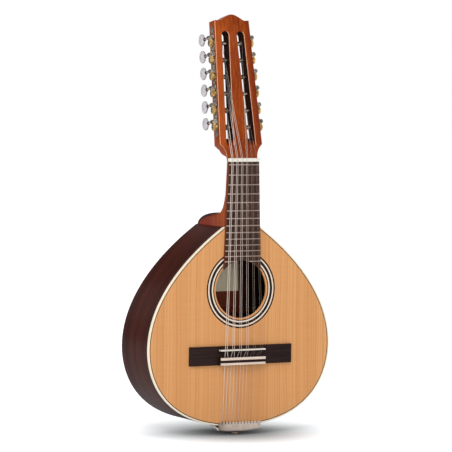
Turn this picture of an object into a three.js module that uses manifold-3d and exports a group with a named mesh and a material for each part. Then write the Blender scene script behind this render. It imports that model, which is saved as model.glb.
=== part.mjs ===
// Twelve-string bandurria with a flat back, a slotted head and worm machines. All lengths in millimetres.
// X runs from the bass side to the treble side, Y from the front to the back, Z up the neck.
// The origin is on the middle line, in the plane of the soundboard's face, at the head end of the nut.

import * as THREE from 'three';
import { mergeVertices } from 'three/addons/utils/BufferGeometryUtils.js';
import Module from 'manifold-3d';

const wasm = await Module();
wasm.setup();

// Scale and fingerboard
const scaleLength = 260;
const fretCount = 13;
const nutThickness = 5;
const nutToZeroFret = 4.3;
const nutWidth = 48.8;
const boardWidthAtTwelfth = 58;
const boardThickness = 4.2;
const fretHeight = 0.9;
const fretFootWidth = 2.3;
const fretCrownWidth = 1.1;
const nutHeight = 6.2;
const nutNotchDepth = 1.7;
const nutNotchWidth = 1.3;

// Body outline and walls
const bodyWidth = 294.6;
const widestAboveSaddle = 0.7;
const tailBelowSaddle = 112.8;
const shoulderAboveSaddle = 171.5;
const shoulderWidth = 60;
const shoulderSlopeDegrees = 46.4;
const tailCurveShare = 0.765;
const bellyCurveShare = 0.454;
const upperCurveShare = 0.565;
const shoulderCurveShare = 0.026;
const ribDepth = 80;
const soundboardThickness = 2.4;
const backThickness = 2.6;
const ribThickness = 2;
const bindingWidth = 2.2;
const bindingDepth = 3.4;
const liningWidth = 5;
const liningDepth = 9;
const glueLine = 0.1;
const jointGap = 0.3;
const outlineSegments = 9;

// Soundhole and rosette
const soundholeAboveSaddle = 82.6;
const soundholeRadius = 40.9;
const rosetteInnerRadius = 43.3;
const rosetteOuterRadius = 55.5;
const rosetteDepth = 1.2;
const holeSegments = 36;
const boardEndMargin = 0.5;

// Bars, blocks and label
const innerInset = bindingWidth + glueLine;
const tailBlockWidth = 60;
const tailBlockThickness = 14;
const footLength = 26;
const barThickness = 7;
const topBarDepth = 14;
const backBarDepth = 12;
const barEndDepth = 5;
const barEndLength = 22;
const upperBarAboveSaddle = 134;
const lowerBarAboveSaddle = 33;
const backBarAboveSaddle = 46;
const labelWidth = 80;
const labelHeight = 54;
const labelAboveSaddle = 100.3;
const labelThickness = 0.3;

// Bridge
const bridgeLength = 165.6;
const bridgeAboveSaddleLine = 2.6;
const bridgeBelowSaddleLine = 24.3;
const wingThickness = 4;
const wingBevel = 2.6;
const blockLength = 72.6;
const blockFrontHeight = 5;
const blockShoulderHeight = 8.4;
const blockShoulderRun = 2.2;
const saddleCompensation = 3;
const saddleThickness = 2.4;
const saddleHeight = 11.2;
const saddleSeatHeight = 3;
const saddleCrownWidth = 1;
const saddleWallWidth = 1.4;
const valleyHeight = 3.4;
const tieBlockDepth = 10.9;
const tieBlockHeight = 10.2;
const tieStripRecess = 1.5;
const tieStripProud = 0.25;
const frontStripWidth = 3.8;
const rearStripWidth = 3.3;
const stringHoleHeight = 6.2;
const stringHoleRadius = 0.95;
const stringHoleSides = 6;

// Neck and heel
const neckDepthAtNut = 17;
const neckDepthAtHeel = 19.6;
const neckSideShare = 0.03;
const neckRoundness = 1.75;
const neckArcSegments = 8;
const heelHeight = 19.4;
const heelCrownRise = 5.4;
const heelWidth = 56;
const heelFootRadius = 2;
const heelCrownRadius = 7;
const heelSweep = 28;
const sweepSwell = 1;

// Slotted head, in its own plane
const headTiltDegrees = 10.7;
const headStep = 1.4;
const headThickness = 18;
const headShoulderHeight = 20;
const headShoulderHalfWidth = 34.1;
const headEarHalfWidth = 27.7;
const headFlareHeight = 4;
const crownRise = 8.6;
const crownHalfWidth = 20;
const crownFullness = 0.6;
const crownSteps = 8;
const slotWidth = 11.6;
const slotInset = 16.2;
const slotTopHeight = 183.6;
const slotTopWall = 15;
const slotFootHeight = 18.6;
const slotRampRun = 13;
const slotEndSegments = 6;

// Machines
const tunersPerSide = 6;
const rollerAboveFoot = 27.4;
const rollerBelowSlotTop = 16.6;
const rollerDepth = 8.4;
const rollerRadius = 3;
const journalRadius = 2.2;
const journalHoleRadius = 2.65;
const stripSocketDepth = 4;
const rollerSideClearance = 0.4;
const plateThickness = 1;
const plateGap = 0.15;
const plateHalfWidth = 5;
const plateScallop = 1.3;
const plateFootReach = 15;
const plateTopReach = 23;
const plateHoleRadius = 2.9;
const plateStepsPerPitch = 5;
const gearTeeth = 14;
const gearModule = 0.75;
const toothTipWidth = 0.5;
const toothRootWidth = 1.35;
const toothHeight = 1.25;
const gearThickness = 2.8;
const wormPitchRadius = 2.3;
const wormTipRadius = 2.85;
const wormRootRadius = 1.6;
const wormCrestWidth = 0.45;
const wormBaseWidth = 1.25;
const wormTurns = 2;
const wormSides = 8;
const wormPlateClearance = 0.35;
const meshSlack = 0.1;
const wormPinRadius = 1.4;
const lugThickness = 1.1;
const lugHalfWidth = 3.1;
const lugHoleRadius = 1.8;
const lugRunningGap = 0.3;
const lugArchSegments = 4;
const bearingSides = 6;
const collarRadius = 2.6;
const collarLength = 2.6;
const buttonStart = 25.4;
const buttonLength = 15.4;
const buttonSpacing = 6;
const buttonHalfThickness = 3.5;
const buttonNeckRadius = 2.2;
const buttonRings = 5;
const roundSides = 8;

// Tailpiece and end pin
const tailpieceWidth = 68;
const tailSheet = 1;
const tailLipAbove = 6.3;
const tailLipGap = 1.4;
const tailDrop = 7.4;
const tailFoldRise = 5.8;
const tailFoldReach = 22;
const tailFootReach = 38;
const tailFootGap = 0.3;
const tailSections = 6;
const tailNotchWidth = 1.5;
const tailNotchDepth = 3;
const endPinBack = 12;
const endPinShaftRadius = 2.2;
const endPinHoleRadius = 2.6;
const endPinHeadRadius = 4.75;
const endPinWaistRadius = 3.2;
const endPinHeadLength = 7.4;
const endPinSeatDepth = 9;

// Strings: one pair a course, from the bass side
const stringRadii = [0.45, 0.355, 0.28, 0.205, 0.15, 0.115];
const stringsPerCourse = 2;
const woundCourses = 4;
const courseSpacingAtNut = 7.95;
const courseSpacingAtSaddle = 11.5;
const pairSpacingAtNut = 2.2;
const pairSpacingAtSaddle = 2.9;
const tailSpacing = 5.1;
const woundSides = 5;
const plainSides = 4;
const stringLift = 0.12;
const windingTurns = 2;
const windingSteps = 12;
const windingGap = 0.5;
const landingShares = [0.13, 0.075, -0.1, -0.03, 0.18, 0.335];

// Cutters run past what they cut by this much
const overrun = 1;

// Derived places
const zeroFretZ = -(nutThickness + nutToZeroFret);
const saddleLineZ = zeroFretZ - scaleLength;
const widestZ = saddleLineZ + widestAboveSaddle;
const tailZ = saddleLineZ - tailBelowSaddle;
const shoulderZ = saddleLineZ + shoulderAboveSaddle;
const soundholeZ = saddleLineZ + soundholeAboveSaddle;
const saddleZ = saddleLineZ - saddleCompensation;
const heelFootDepth = ribDepth + backThickness;
const heelCrownDepth = neckDepthAtHeel + heelCrownRise;
const headTilt = THREE.MathUtils.degToRad(headTiltDegrees);
const headEarHeight = slotTopHeight + slotTopWall;
const headTaper = Math.atan2(headShoulderHalfWidth - headEarHalfWidth, headEarHeight - headShoulderHeight);
const headHalfWidthAtNut = headShoulderHalfWidth + headShoulderHeight * Math.tan(headTaper);
const firstRollerHeight = slotFootHeight + rollerAboveFoot;
const lastRollerHeight = slotTopHeight - rollerBelowSlotTop;
const rollerPitch = (lastRollerHeight - firstRollerHeight) / (tunersPerSide - 1);
const buttonHalfHeight = (rollerPitch - buttonSpacing) / 2;
const gearPitchRadius = gearModule * gearTeeth / 2;
const wormPitch = Math.PI * gearModule;
const wormAxisOut = plateGap + plateThickness + wormPlateClearance + wormTipRadius;
const wormAxisUp = gearPitchRadius + wormPitchRadius + meshSlack;
const threadSteps = Math.round(wormTurns * wormSides);
const threadMiddleStep = Math.round((threadSteps + wormSides - wormSides * wormBaseWidth / wormPitch) / 2);
const threadStart = -(wormBaseWidth / 2 + wormPitch * threadMiddleStep / wormSides);
const threadEnd = threadStart + wormPitch * (threadSteps + wormSides) / wormSides;
const rows = [-1, 1];

// Materials
function finish(color, roughness, metalness = 0) {
  return new THREE.MeshStandardMaterial({ color, roughness, metalness });
}

const cedar = finish(0xd9a066, 0.45);
const rosewood = finish(0x4a241b, 0.4);
const darkRosewood = finish(0x33201b, 0.5);
const mahogany = finish(0xa5481f, 0.35);
const spruce = finish(0xd8bd8d, 0.7);
const bone = finish(0xf2eee2, 0.4);
const ivoroid = finish(0xf5f1e6, 0.35);
const ringwood = finish(0x2a1c18, 0.5);
const nickel = finish(0xb9b7b2, 0.3, 1);
const brass = finish(0xc59a46, 0.35, 1);
const steel = finish(0xa9a9a8, 0.3, 1);
const bronze = finish(0xb98d6c, 0.4, 1);
const pearl = finish(0xbdbac0, 0.2);
const paper = finish(0xd8cfb4, 0.9);
const ebony = finish(0x201613, 0.45);

// Axes along which a flat outline is laid and pushed out
const axisX = new THREE.Vector3(1, 0, 0);
const axisY = new THREE.Vector3(0, 1, 0);
const axisZ = new THREE.Vector3(0, 0, 1);
const minusY = axisY.clone().negate();
const minusZ = axisZ.clone().negate();
const faceBasis = new THREE.Matrix4().makeBasis(axisX, axisZ, minusY);
const sideBasis = new THREE.Matrix4().makeBasis(axisY, axisZ, axisX);
const planBasis = new THREE.Matrix4().makeBasis(axisX, axisY, axisZ);
const shaftAlongY = new THREE.Matrix4().makeBasis(axisX, minusZ, axisY);

function point(x, y) {
  return new THREE.Vector2(x, y);
}

function spot(x, y, z) {
  return new THREE.Vector3(x, y, z);
}

// Closed mesh with shared vertices from a list of triangle corners, turned inside out if need be
function closedMesh(corners) {
  const geometry = new THREE.BufferGeometry().setFromPoints(corners);
  const merged = mergeVertices(geometry);
  const kept = [];
  let volume = 0;
  const place = merged.attributes.position;
  const [a, b, c] = [spot(0, 0, 0), spot(0, 0, 0), spot(0, 0, 0)];
  for (let i = 0; i < merged.index.count; i += 3) {
    const [p, q, r] = [merged.index.getX(i), merged.index.getX(i + 1), merged.index.getX(i + 2)];
    if (p === q || q === r || r === p) continue;
    kept.push(p, q, r);
    volume += a.fromBufferAttribute(place, p).dot(
      b.fromBufferAttribute(place, q).cross(c.fromBufferAttribute(place, r)));
  }
  if (volume < 0) kept.reverse();
  merged.setIndex(kept);
  return merged;
}

// Triangles between neighbouring rings with equal counts
function skin(rings) {
  const corners = [];
  const count = rings[0].length;
  for (let row = 0; row + 1 < rings.length; row += 1) {
    const [near, far] = [rings[row], rings[row + 1]];
    for (let i = 0; i < count; i += 1) {
      const next = (i + 1) % count;
      corners.push(near[i], near[next], far[next], near[i], far[next], far[i]);
    }
  }
  return corners;
}

// Closed body through a row of rings, with a fan at each end
function loft(rings) {
  return closedMesh([...fan(rings[0].slice().reverse()), ...skin(rings), ...fan(rings[rings.length - 1])]);
}

function fan(ring) {
  const middle = ring.reduce((sum, corner) => sum.add(corner), spot(0, 0, 0)).divideScalar(ring.length);
  return ring.flatMap((corner, i) => [middle, corner, ring[(i + 1) % ring.length]]);
}

// Outline pushed out along one axis, from one level to another
function slab(outline, from, to, basis, holes = []) {
  const shape = new THREE.Shape(outline);
  shape.holes = holes.map((hole) => new THREE.Path(hole));
  const geometry = new THREE.ExtrudeGeometry(shape, { depth: to - from, bevelEnabled: false });
  geometry.translate(0, 0, from);
  return geometry.applyMatrix4(basis);
}

// Outline drawn in X and Z, filling Y from front to back
function plate(outline, front, back, holes = []) {
  return slab(outline, -back, -front, faceBasis, holes);
}

function circle(radius, count, centreX = 0, centreY = 0) {
  return Array.from({ length: count }, (_, i) => {
    const angle = 2 * Math.PI * i / count;
    return point(centreX + radius * Math.cos(angle), centreY + radius * Math.sin(angle));
  });
}

function box(left, right, front, back, bottom, top) {
  const outline = [point(left, bottom), point(right, bottom), point(right, top), point(left, top)];
  return plate(outline, front, back);
}

// Round bar along the given basis' third axis
function rod(radius, from, to, sides, basis) {
  return slab(circle(radius, sides), from, to, basis);
}

// Turned piece: stations of [distance, radius] along the third axis of the basis
function turned(stations, sides, basis) {
  const rings = stations.map(([along, radius]) => circle(radius, sides).map(({ x, y }) => spot(x, y, along)));
  return loft(rings).applyMatrix4(basis);
}

// Booleans
function solid(geometry) {
  const bare = geometry.clone();
  bare.deleteAttribute('normal');
  bare.deleteAttribute('uv');
  const merged = mergeVertices(bare);
  return new wasm.Manifold(new wasm.Mesh({
    numProp: 3,
    vertProperties: new Float32Array(merged.attributes.position.array),
    triVerts: new Uint32Array(merged.index.array),
  }));
}

function geometryOf(body) {
  const mesh = body.getMesh();
  const geometry = new THREE.BufferGeometry();
  geometry.setAttribute('position', new THREE.BufferAttribute(new Float32Array(mesh.vertProperties), 3));
  geometry.setIndex(Array.from(mesh.triVerts));
  return geometry;
}

function join(...geometries) {
  return geometryOf(geometries.map(solid).reduce((whole, part) => whole.add(part)));
}

function cut(geometry, ...cutters) {
  return geometryOf(cutters.map(solid).reduce((whole, part) => whole.subtract(part), solid(geometry)));
}

function common(first, second) {
  return geometryOf(solid(first).intersect(solid(second)));
}

// Tube along a hand-laid run of points, closed at both ends
function tube(run, radius, sides) {
  const rings = [];
  let across = spot(1, 0, 0);
  run.forEach((here, i) => {
    const back = run[Math.max(i - 1, 0)];
    const ahead = run[Math.min(i + 1, run.length - 1)];
    const along = ahead.clone().sub(back).normalize();
    across = across.clone().addScaledVector(along, -across.dot(along)).normalize();
    const up = along.clone().cross(across);
    rings.push(circle(radius, sides).map(({ x, y }) => (
      here.clone().addScaledVector(across, x).addScaledVector(up, y))));
  });
  return loft(rings);
}

const bandurria = new THREE.Group();

function add(name, geometry, material, parent = bandurria) {
  const mesh = new THREE.Mesh(geometry, material);
  mesh.name = name;
  parent.add(mesh);
  return mesh;
}

// Treble half of the body's outline, from the tail to the shoulder, moved in by the inset
function halfOutline(inset) {
  const halfWidth = bodyWidth / 2;
  const lowHeight = widestZ - tailZ;
  const highHeight = shoulderZ - widestZ;
  const slope = THREE.MathUtils.degToRad(shoulderSlopeDegrees);
  const shoulder = point(shoulderWidth / 2, shoulderZ);
  const shoulderHandle = shoulder.clone().add(
    point(Math.cos(slope), -Math.sin(slope)).multiplyScalar(shoulderCurveShare * highHeight));
  const curves = [
    new THREE.CubicBezierCurve(
      point(0, tailZ),
      point(tailCurveShare * halfWidth, tailZ),
      point(halfWidth, widestZ - bellyCurveShare * lowHeight),
      point(halfWidth, widestZ)),
    new THREE.CubicBezierCurve(
      point(halfWidth, widestZ),
      point(halfWidth, widestZ + upperCurveShare * highHeight),
      shoulderHandle,
      shoulder),
  ];
  const chain = [];
  curves.forEach((curve, index) => {
    for (let i = index; i <= outlineSegments; i += 1) {
      const share = i / outlineSegments;
      const along = curve.getTangent(share);
      chain.push(curve.getPoint(share).addScaledVector(point(-along.y, along.x), inset));
    }
  });
  const end = chain[chain.length - 1];
  const before = chain[chain.length - 2];
  end.lerpVectors(before, end, (shoulderZ - before.y) / (end.y - before.y));
  return chain;
}

function mirrored(chain) {
  return chain.map(({ x, y }) => point(-x, y));
}

function bodyOutline(inset) {
  const half = halfOutline(inset);
  return [...mirrored(half).reverse(), ...half.slice(1)];
}

// Strip between two chains that run the same way
function between(outer, inner) {
  return [...outer, ...inner.slice().reverse()];
}

// Distance from the middle line to the outline at a height above the widest place, and below it
function outlineXAt(height, inset) {
  const chain = halfOutline(inset).filter(({ y }) => y > widestZ - ribThickness);
  const i = chain.findIndex(({ y }) => y >= height);
  const [low, high] = [chain[i - 1], chain[i]];
  return THREE.MathUtils.mapLinear(height, low.y, high.y, low.x, high.x);
}

function outlineZAt(x, inset) {
  const chain = halfOutline(inset);
  const away = Math.abs(x);
  const i = Math.max(1, chain.findIndex((place) => place.x >= away));
  const [near, far] = [chain[i - 1], chain[i]];
  return THREE.MathUtils.mapLinear(away, near.x, far.x, near.y, far.y);
}

function boardWidthAt(z) {
  const share = (zeroFretZ - z) / (scaleLength / 2);
  return nutWidth + (boardWidthAtTwelfth - nutWidth) * share;
}

// Soundbox
function addSoundbox() {
  const boardInset = bindingWidth + glueLine;
  const hole = circle(soundholeRadius, holeSegments, 0, soundholeZ);
  const rosetteSeat = circle(rosetteOuterRadius + glueLine, holeSegments, 0, soundholeZ);
  const rosetteCore = circle(rosetteInnerRadius - glueLine, holeSegments, 0, soundholeZ);
  const board = plate(bodyOutline(boardInset), 0, soundboardThickness, [hole]);
  const groove = plate(rosetteSeat, -overrun, rosetteDepth, [rosetteCore]);
  add('soundboard', cut(board, groove), cedar);

  const rosetteRim = circle(rosetteOuterRadius, holeSegments, 0, soundholeZ);
  const rosetteBore = circle(rosetteInnerRadius, holeSegments, 0, soundholeZ);
  const ring = plate(rosetteRim, 0, rosetteDepth, [rosetteBore]);
  const boardNotch = box(
    -boardWidthAtTwelfth, boardWidthAtTwelfth, -overrun, rosetteDepth + overrun,
    soundholeZ + rosetteOuterRadius, soundholeZ + 2 * rosetteOuterRadius);
  add('rosette', cut(ring, boardNotch), ringwood);

  add('back', plate(bodyOutline(0), ribDepth, ribDepth + backThickness), rosewood);
  const bindingLine = between(bodyOutline(0), bodyOutline(bindingWidth));
  add('front_binding', plate(bindingLine, 0, bindingDepth), ivoroid);
  addRibs();
  addBlocksAndBars();
}

function pinBore(bottom, top) {
  return rod(endPinHoleRadius, bottom, top, roundSides, planBasis).translate(0, endPinBack, 0);
}

// Two ribs that meet on the middle line at the tail, with the end pin's hole between them
function addRibs() {
  const outer = halfOutline(0);
  const inner = halfOutline(ribThickness);
  outer[0].x = jointGap / 2;
  inner[0].x = jointGap / 2;
  const pinHole = pinBore(tailZ - overrun, tailZ + ribThickness + overrun);
  const treble = between(outer, inner);
  add('rib_treble', cut(plate(treble, bindingDepth, ribDepth), pinHole), rosewood);
  add('rib_bass', cut(plate(mirrored(treble).reverse(), bindingDepth, ribDepth), pinHole), rosewood);

  const liningOuter = halfOutline(innerInset);
  const liningInner = halfOutline(innerInset + liningWidth);
  const clearOfBlocks = (_, i) => (
    liningInner[i].x > tailBlockWidth / 2 + jointGap
    && liningOuter[i].y < shoulderZ - footLength - jointGap);
  const lining = between(liningOuter.filter(clearOfBlocks), liningInner.filter(clearOfBlocks));
  const liningBack = soundboardThickness + liningDepth;
  add('lining_treble', plate(lining, soundboardThickness, liningBack), spruce);
  add('lining_bass', plate(mirrored(lining).reverse(), soundboardThickness, liningBack), spruce);
}

function addBlocksAndBars() {
  const floorAt = (x) => point(x, outlineZAt(x, innerInset));
  const blockTop = tailZ + ribThickness + tailBlockThickness;
  const blockHalf = tailBlockWidth / 2;
  const blockOutline = [
    ...[-blockHalf, -blockHalf / 2, 0, blockHalf / 2, blockHalf].map(floorAt),
    point(blockHalf, blockTop),
    point(-blockHalf, blockTop),
  ];
  const pinHole = pinBore(tailZ - overrun, tailZ + endPinSeatDepth + overrun);
  add('tail_block', cut(plate(blockOutline, soundboardThickness, ribDepth), pinHole), mahogany);

  const topFace = soundboardThickness;
  addBar('top_bar_upper', upperBarAboveSaddle, topFace, topFace + topBarDepth, topFace + barEndDepth);
  addBar('top_bar_lower', lowerBarAboveSaddle, topFace, topFace + topBarDepth, topFace + barEndDepth);
  addBar(
    'back_bar', backBarAboveSaddle, ribDepth, ribDepth - backBarDepth, ribDepth - barEndDepth, mahogany);

  const labelBottom = saddleLineZ + labelAboveSaddle - labelHeight / 2;
  add('label', box(
    -labelWidth / 2, labelWidth / 2, ribDepth - labelThickness, ribDepth,
    labelBottom, labelBottom + labelHeight), paper);
}

// Cross bar glued to a plate's inner face, thinned at both ends
function addBar(name, aboveSaddle, glueFace, ridgeFace, endFace, wood = spruce) {
  const z = saddleLineZ + aboveSaddle;
  const reach = outlineXAt(z + barThickness / 2, innerInset + liningWidth) - jointGap;
  const flat = reach - barEndLength;
  const outline = [
    point(-reach, glueFace), point(reach, glueFace), point(reach, endFace),
    point(flat, ridgeFace), point(-flat, ridgeFace), point(-reach, endFace),
  ];
  if (ridgeFace < glueFace) outline.reverse();
  add(name, slab(outline, z - barThickness / 2, z + barThickness / 2, planBasis), wood);
}

// Fingerboard with its fret crowns: a toothed side profile cut to the tapered plan
function addFingerboard() {
  const top = -boardThickness;
  const crown = top - fretHeight;
  const end = saddleLineZ;
  const profile = [point(0, end), point(0, -nutThickness), point(top, -nutThickness)];
  for (let n = 0; n <= fretCount; n += 1) {
    const z = zeroFretZ - scaleLength * (1 - 2 ** (-n / 12));
    profile.push(
      point(top, z + fretFootWidth / 2),
      point(crown, z + fretCrownWidth / 2),
      point(crown, z - fretCrownWidth / 2),
      point(top, z - fretFootWidth / 2));
  }
  profile.push(point(top, end));
  const blank = slab(profile, -bodyWidth / 2, bodyWidth / 2, sideBasis);

  const endRadius = soundholeRadius + boardEndMargin;
  const tipHalf = tongueHalfWidth(endRadius);
  const tipAngle = Math.asin(tipHalf / endRadius);
  const plan = [point(nutWidth / 2, 0), point(-nutWidth / 2, 0)];
  const arcSegments = 10;
  for (let i = 0; i <= arcSegments; i += 1) {
    const angle = tipAngle * (2 * i / arcSegments - 1);
    plan.push(point(endRadius * Math.sin(angle), soundholeZ + endRadius * Math.cos(angle)));
  }
  const prism = plate(plan, -boardThickness - fretHeight - overrun, overrun);
  add('fingerboard', common(blank, prism), darkRosewood);
}

// Half width of the board where its edge meets the end arc
function tongueHalfWidth(endRadius) {
  let half = boardWidthAtTwelfth / 2;
  for (let i = 0; i < 6; i += 1) {
    half = boardWidthAt(soundholeZ + Math.sqrt(endRadius ** 2 - half ** 2)) / 2;
  }
  return half;
}

function courseX(course, member, courseSpacing, pairSpacing) {
  const courses = stringRadii.length;
  return (course - (courses - 1) / 2) * courseSpacing + (member - 1 / 2) * pairSpacing;
}

const stringList = stringRadii.flatMap((radius, course) => (
  Array.from({ length: stringsPerCourse }, (_, member) => ({ radius, course, member }))));

// Nut with a notch under each string
function addNut() {
  const crest = -nutHeight;
  const outline = [point(-nutWidth / 2, 0), point(nutWidth / 2, 0), point(nutWidth / 2, crest)];
  stringList.slice().reverse().forEach(({ course, member }) => {
    const x = courseX(course, member, courseSpacingAtNut, pairSpacingAtNut);
    const floor = crest + nutNotchDepth;
    outline.push(
      point(x + nutNotchWidth / 2, crest),
      point(x + nutNotchWidth / 2, floor),
      point(x - nutNotchWidth / 2, floor),
      point(x - nutNotchWidth / 2, crest));
  });
  outline.push(point(-nutWidth / 2, crest));
  add('nut', slab(outline.reverse(), -nutThickness, 0, planBasis), bone);
}

// Bridge: thin wings, a raised block with the saddle slot, a valley and the drilled tie block
const tieFrontZ = saddleLineZ - bridgeBelowSaddleLine + tieBlockDepth;
const tieBackZ = saddleLineZ - bridgeBelowSaddleLine;

function addBridge() {
  const frontZ = saddleLineZ + bridgeAboveSaddleLine;
  const slotHead = saddleZ + saddleThickness / 2 + glueLine;
  const slotFoot = saddleZ - saddleThickness / 2 - glueLine;
  const valleyStart = slotFoot - saddleWallWidth;
  const valleyRun = blockShoulderHeight - valleyHeight;
  const stripSeat = tieBlockHeight - tieStripRecess;
  const frontStripFoot = tieFrontZ - frontStripWidth - glueLine;
  const rearStripHead = tieBackZ + rearStripWidth + glueLine;
  const profile = [
    point(0, frontZ),
    point(-blockFrontHeight, frontZ),
    point(-blockShoulderHeight, frontZ - blockShoulderRun),
    point(-blockShoulderHeight, slotHead),
    point(-saddleSeatHeight, slotHead),
    point(-saddleSeatHeight, slotFoot),
    point(-blockShoulderHeight, slotFoot),
    point(-blockShoulderHeight, valleyStart),
    point(-valleyHeight, valleyStart - valleyRun / 2),
    point(-valleyHeight, tieFrontZ),
    point(-stripSeat, tieFrontZ),
    point(-stripSeat, frontStripFoot),
    point(-tieBlockHeight, frontStripFoot),
    point(-tieBlockHeight, rearStripHead),
    point(-stripSeat, rearStripHead),
    point(-stripSeat, tieBackZ),
    point(0, tieBackZ),
  ];
  const block = slab(profile, -blockLength / 2, blockLength / 2, sideBasis);
  const half = bridgeLength / 2;
  const wingOutline = [
    point(-half, 0), point(-half, -wingThickness + wingBevel / 2), point(-half + wingBevel, -wingThickness),
    point(half - wingBevel, -wingThickness), point(half, -wingThickness + wingBevel / 2), point(half, 0),
  ];
  const wings = slab(wingOutline, tieBackZ, frontZ, planBasis);
  const saddleRoom = box(
    -blockLength / 2, blockLength / 2, -saddleHeight, -saddleSeatHeight, slotFoot, slotHead);
  const valleyRoom = box(
    -blockLength / 2, blockLength / 2, -saddleHeight, -valleyHeight, tieFrontZ, valleyStart - valleyRun / 2);
  const drill = rod(stringHoleRadius, tieBackZ - overrun, tieFrontZ + overrun, stringHoleSides, planBasis);
  const drills = stringList.map((_, i) => drill.clone().translate(tailX(i), -stringHoleHeight, 0));
  add('bridge', cut(join(block, wings), saddleRoom, valleyRoom, ...drills), ebony);

  const saddleProfile = [
    point(-saddleSeatHeight, saddleZ + saddleThickness / 2),
    point(-saddleHeight + saddleCrownWidth, saddleZ + saddleThickness / 2),
    point(-saddleHeight, saddleZ + saddleCrownWidth / 2),
    point(-saddleHeight, saddleZ - saddleCrownWidth / 2),
    point(-saddleHeight + saddleCrownWidth, saddleZ - saddleThickness / 2),
    point(-saddleSeatHeight, saddleZ - saddleThickness / 2),
  ];
  const saddleHalf = blockLength / 2 - jointGap;
  add('saddle', slab(saddleProfile, -saddleHalf, saddleHalf, sideBasis), bone);
  addTieStrip('tie_strip_front', tieFrontZ - frontStripWidth, tieFrontZ);
  addTieStrip('tie_strip_rear', tieBackZ, tieBackZ + rearStripWidth);
}

function addTieStrip(name, bottom, top) {
  const seat = -(tieBlockHeight - tieStripRecess);
  const face = -(tieBlockHeight + tieStripProud);
  add(name, box(-blockLength / 2, blockLength / 2, face, seat, bottom, top), bone);
}

// Strings lie evenly spaced from the tie block to the tailpiece
function tailX(index) {
  return (index - (stringList.length - 1) / 2) * tailSpacing;
}

// Cross-section of the neck: flat glue face, short upright sides, rounded back
function neckSection(halfWidth, depth, roundness) {
  const side = depth * neckSideShare;
  const ring = [point(-halfWidth, 0)];
  for (let i = 0; i <= neckArcSegments; i += 1) {
    const angle = Math.PI * (1 - i / neckArcSegments);
    const [c, s] = [Math.cos(angle), Math.sin(angle)];
    ring.push(point(
      halfWidth * Math.sign(c) * Math.abs(c) ** (2 / roundness),
      side + (depth - side) * Math.abs(s) ** (2 / roundness)));
  }
  ring.push(point(halfWidth, 0));
  return ring;
}

// Cross-section of the heel with as many corners: sides that lean in, and a flat rear with rounded edges
function heelSection(halfWidth, lean, depth, radius) {
  const corner = [];
  for (let i = 0; i <= 2; i += 1) {
    const angle = Math.PI * i / 4;
    corner.push(point(
      halfWidth - lean - radius * (1 - Math.cos(angle)),
      depth - radius * (1 - Math.sin(angle))));
  }
  const half = [point(halfWidth, 0), point(halfWidth, neckDepthAtHeel / 2), ...corner];
  return [...mirrored(half), point(0, depth), ...half.reverse()];
}

// Neck shaft and heel as one skin of cross-sections, from the shoulder up to the head.
// The heel's rear follows a quarter ellipse to its crown, which sweeps into the neck.
function neckShaft() {
  const heelTop = shoulderZ + heelHeight;
  const crownShare = 1 - heelCrownRadius / heelHeight;
  const heelShares = [0, 0.4, crownShare, 0.86, 0.96, 1];
  const heelRings = heelShares.map((share) => {
    const depth = THREE.MathUtils.lerp(heelCrownDepth, heelFootDepth, Math.sqrt(1 - share ** 2));
    const radius = THREE.MathUtils.lerp(heelFootRadius, heelCrownRadius, share);
    const rounding = Math.max(0, (share - crownShare) / (1 - crownShare));
    const lean = heelCrownRadius * (1 - Math.sqrt(1 - rounding ** 2)) / 2;
    return [shoulderZ + heelHeight * share, heelSection(heelWidth / 2, lean, depth, radius)];
  });
  const sweepShares = [0.1, 0.34, 0.56, 0.78, 1];
  const sweepRings = sweepShares.map((share) => {
    const z = heelTop + heelSweep * share;
    const swell = (1 - share) ** 1.3;
    const half = THREE.MathUtils.lerp(boardWidthAt(z) / 2, heelWidth / 2, swell / 2);
    const depth = neckDepthAtHeel + heelCrownRise * swell;
    return [z, neckSection(half, depth, neckRoundness + sweepSwell * swell)];
  });
  const nutRings = [-nutThickness, 0].map((z) => [
    z, neckSection(Math.max(boardWidthAt(z), nutWidth) / 2, neckDepthAtNut, neckRoundness)]);
  return loft([...heelRings, ...sweepRings, ...nutRings].map(([z, ring]) => (
    ring.map(({ x, y }) => spot(x, y, z)))));
}

// Head outline in its own plane: flare, corner, tapered edge, ear and crown
function headOutline() {
  const flare = new THREE.QuadraticBezierCurve(
    point(nutWidth / 2, headFlareHeight),
    point(nutWidth / 2 + headFlareHeight / 4, headShoulderHeight - headFlareHeight),
    point(headShoulderHalfWidth, headShoulderHeight));
  const ear = point(headEarHalfWidth, headEarHeight);
  const half = [point(nutWidth / 2, -headFlareHeight), ...flare.getPoints(4), ear];
  for (let i = 0; i <= crownSteps; i += 1) {
    const share = 1 - i / crownSteps;
    const lift = ((1 + Math.cos(Math.PI * share)) / 2) ** crownFullness;
    half.push(point(crownHalfWidth * share, headEarHeight + crownRise * lift));
  }
  return [...half, ...mirrored(half.slice(0, -1)).reverse()];
}

const headFrame = new THREE.Group();
headFrame.position.set(0, headStep, 0);
headFrame.rotation.x = -headTilt;
headFrame.updateMatrixWorld();

// Frame of one edge of the head: X square to the edge, Y into the head's depth, Z along the edge
function edgeFrame(row) {
  const frame = new THREE.Group();
  frame.position.set(row * headHalfWidthAtNut, 0, 0);
  frame.rotation.y = -row * headTaper;
  headFrame.add(frame);
  frame.updateMatrixWorld();
  return frame;
}

const edgeFrames = new Map(rows.map((row) => [row, edgeFrame(row)]));

function rollerHeight(index) {
  return (firstRollerHeight + index * rollerPitch) / Math.cos(headTaper);
}

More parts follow.
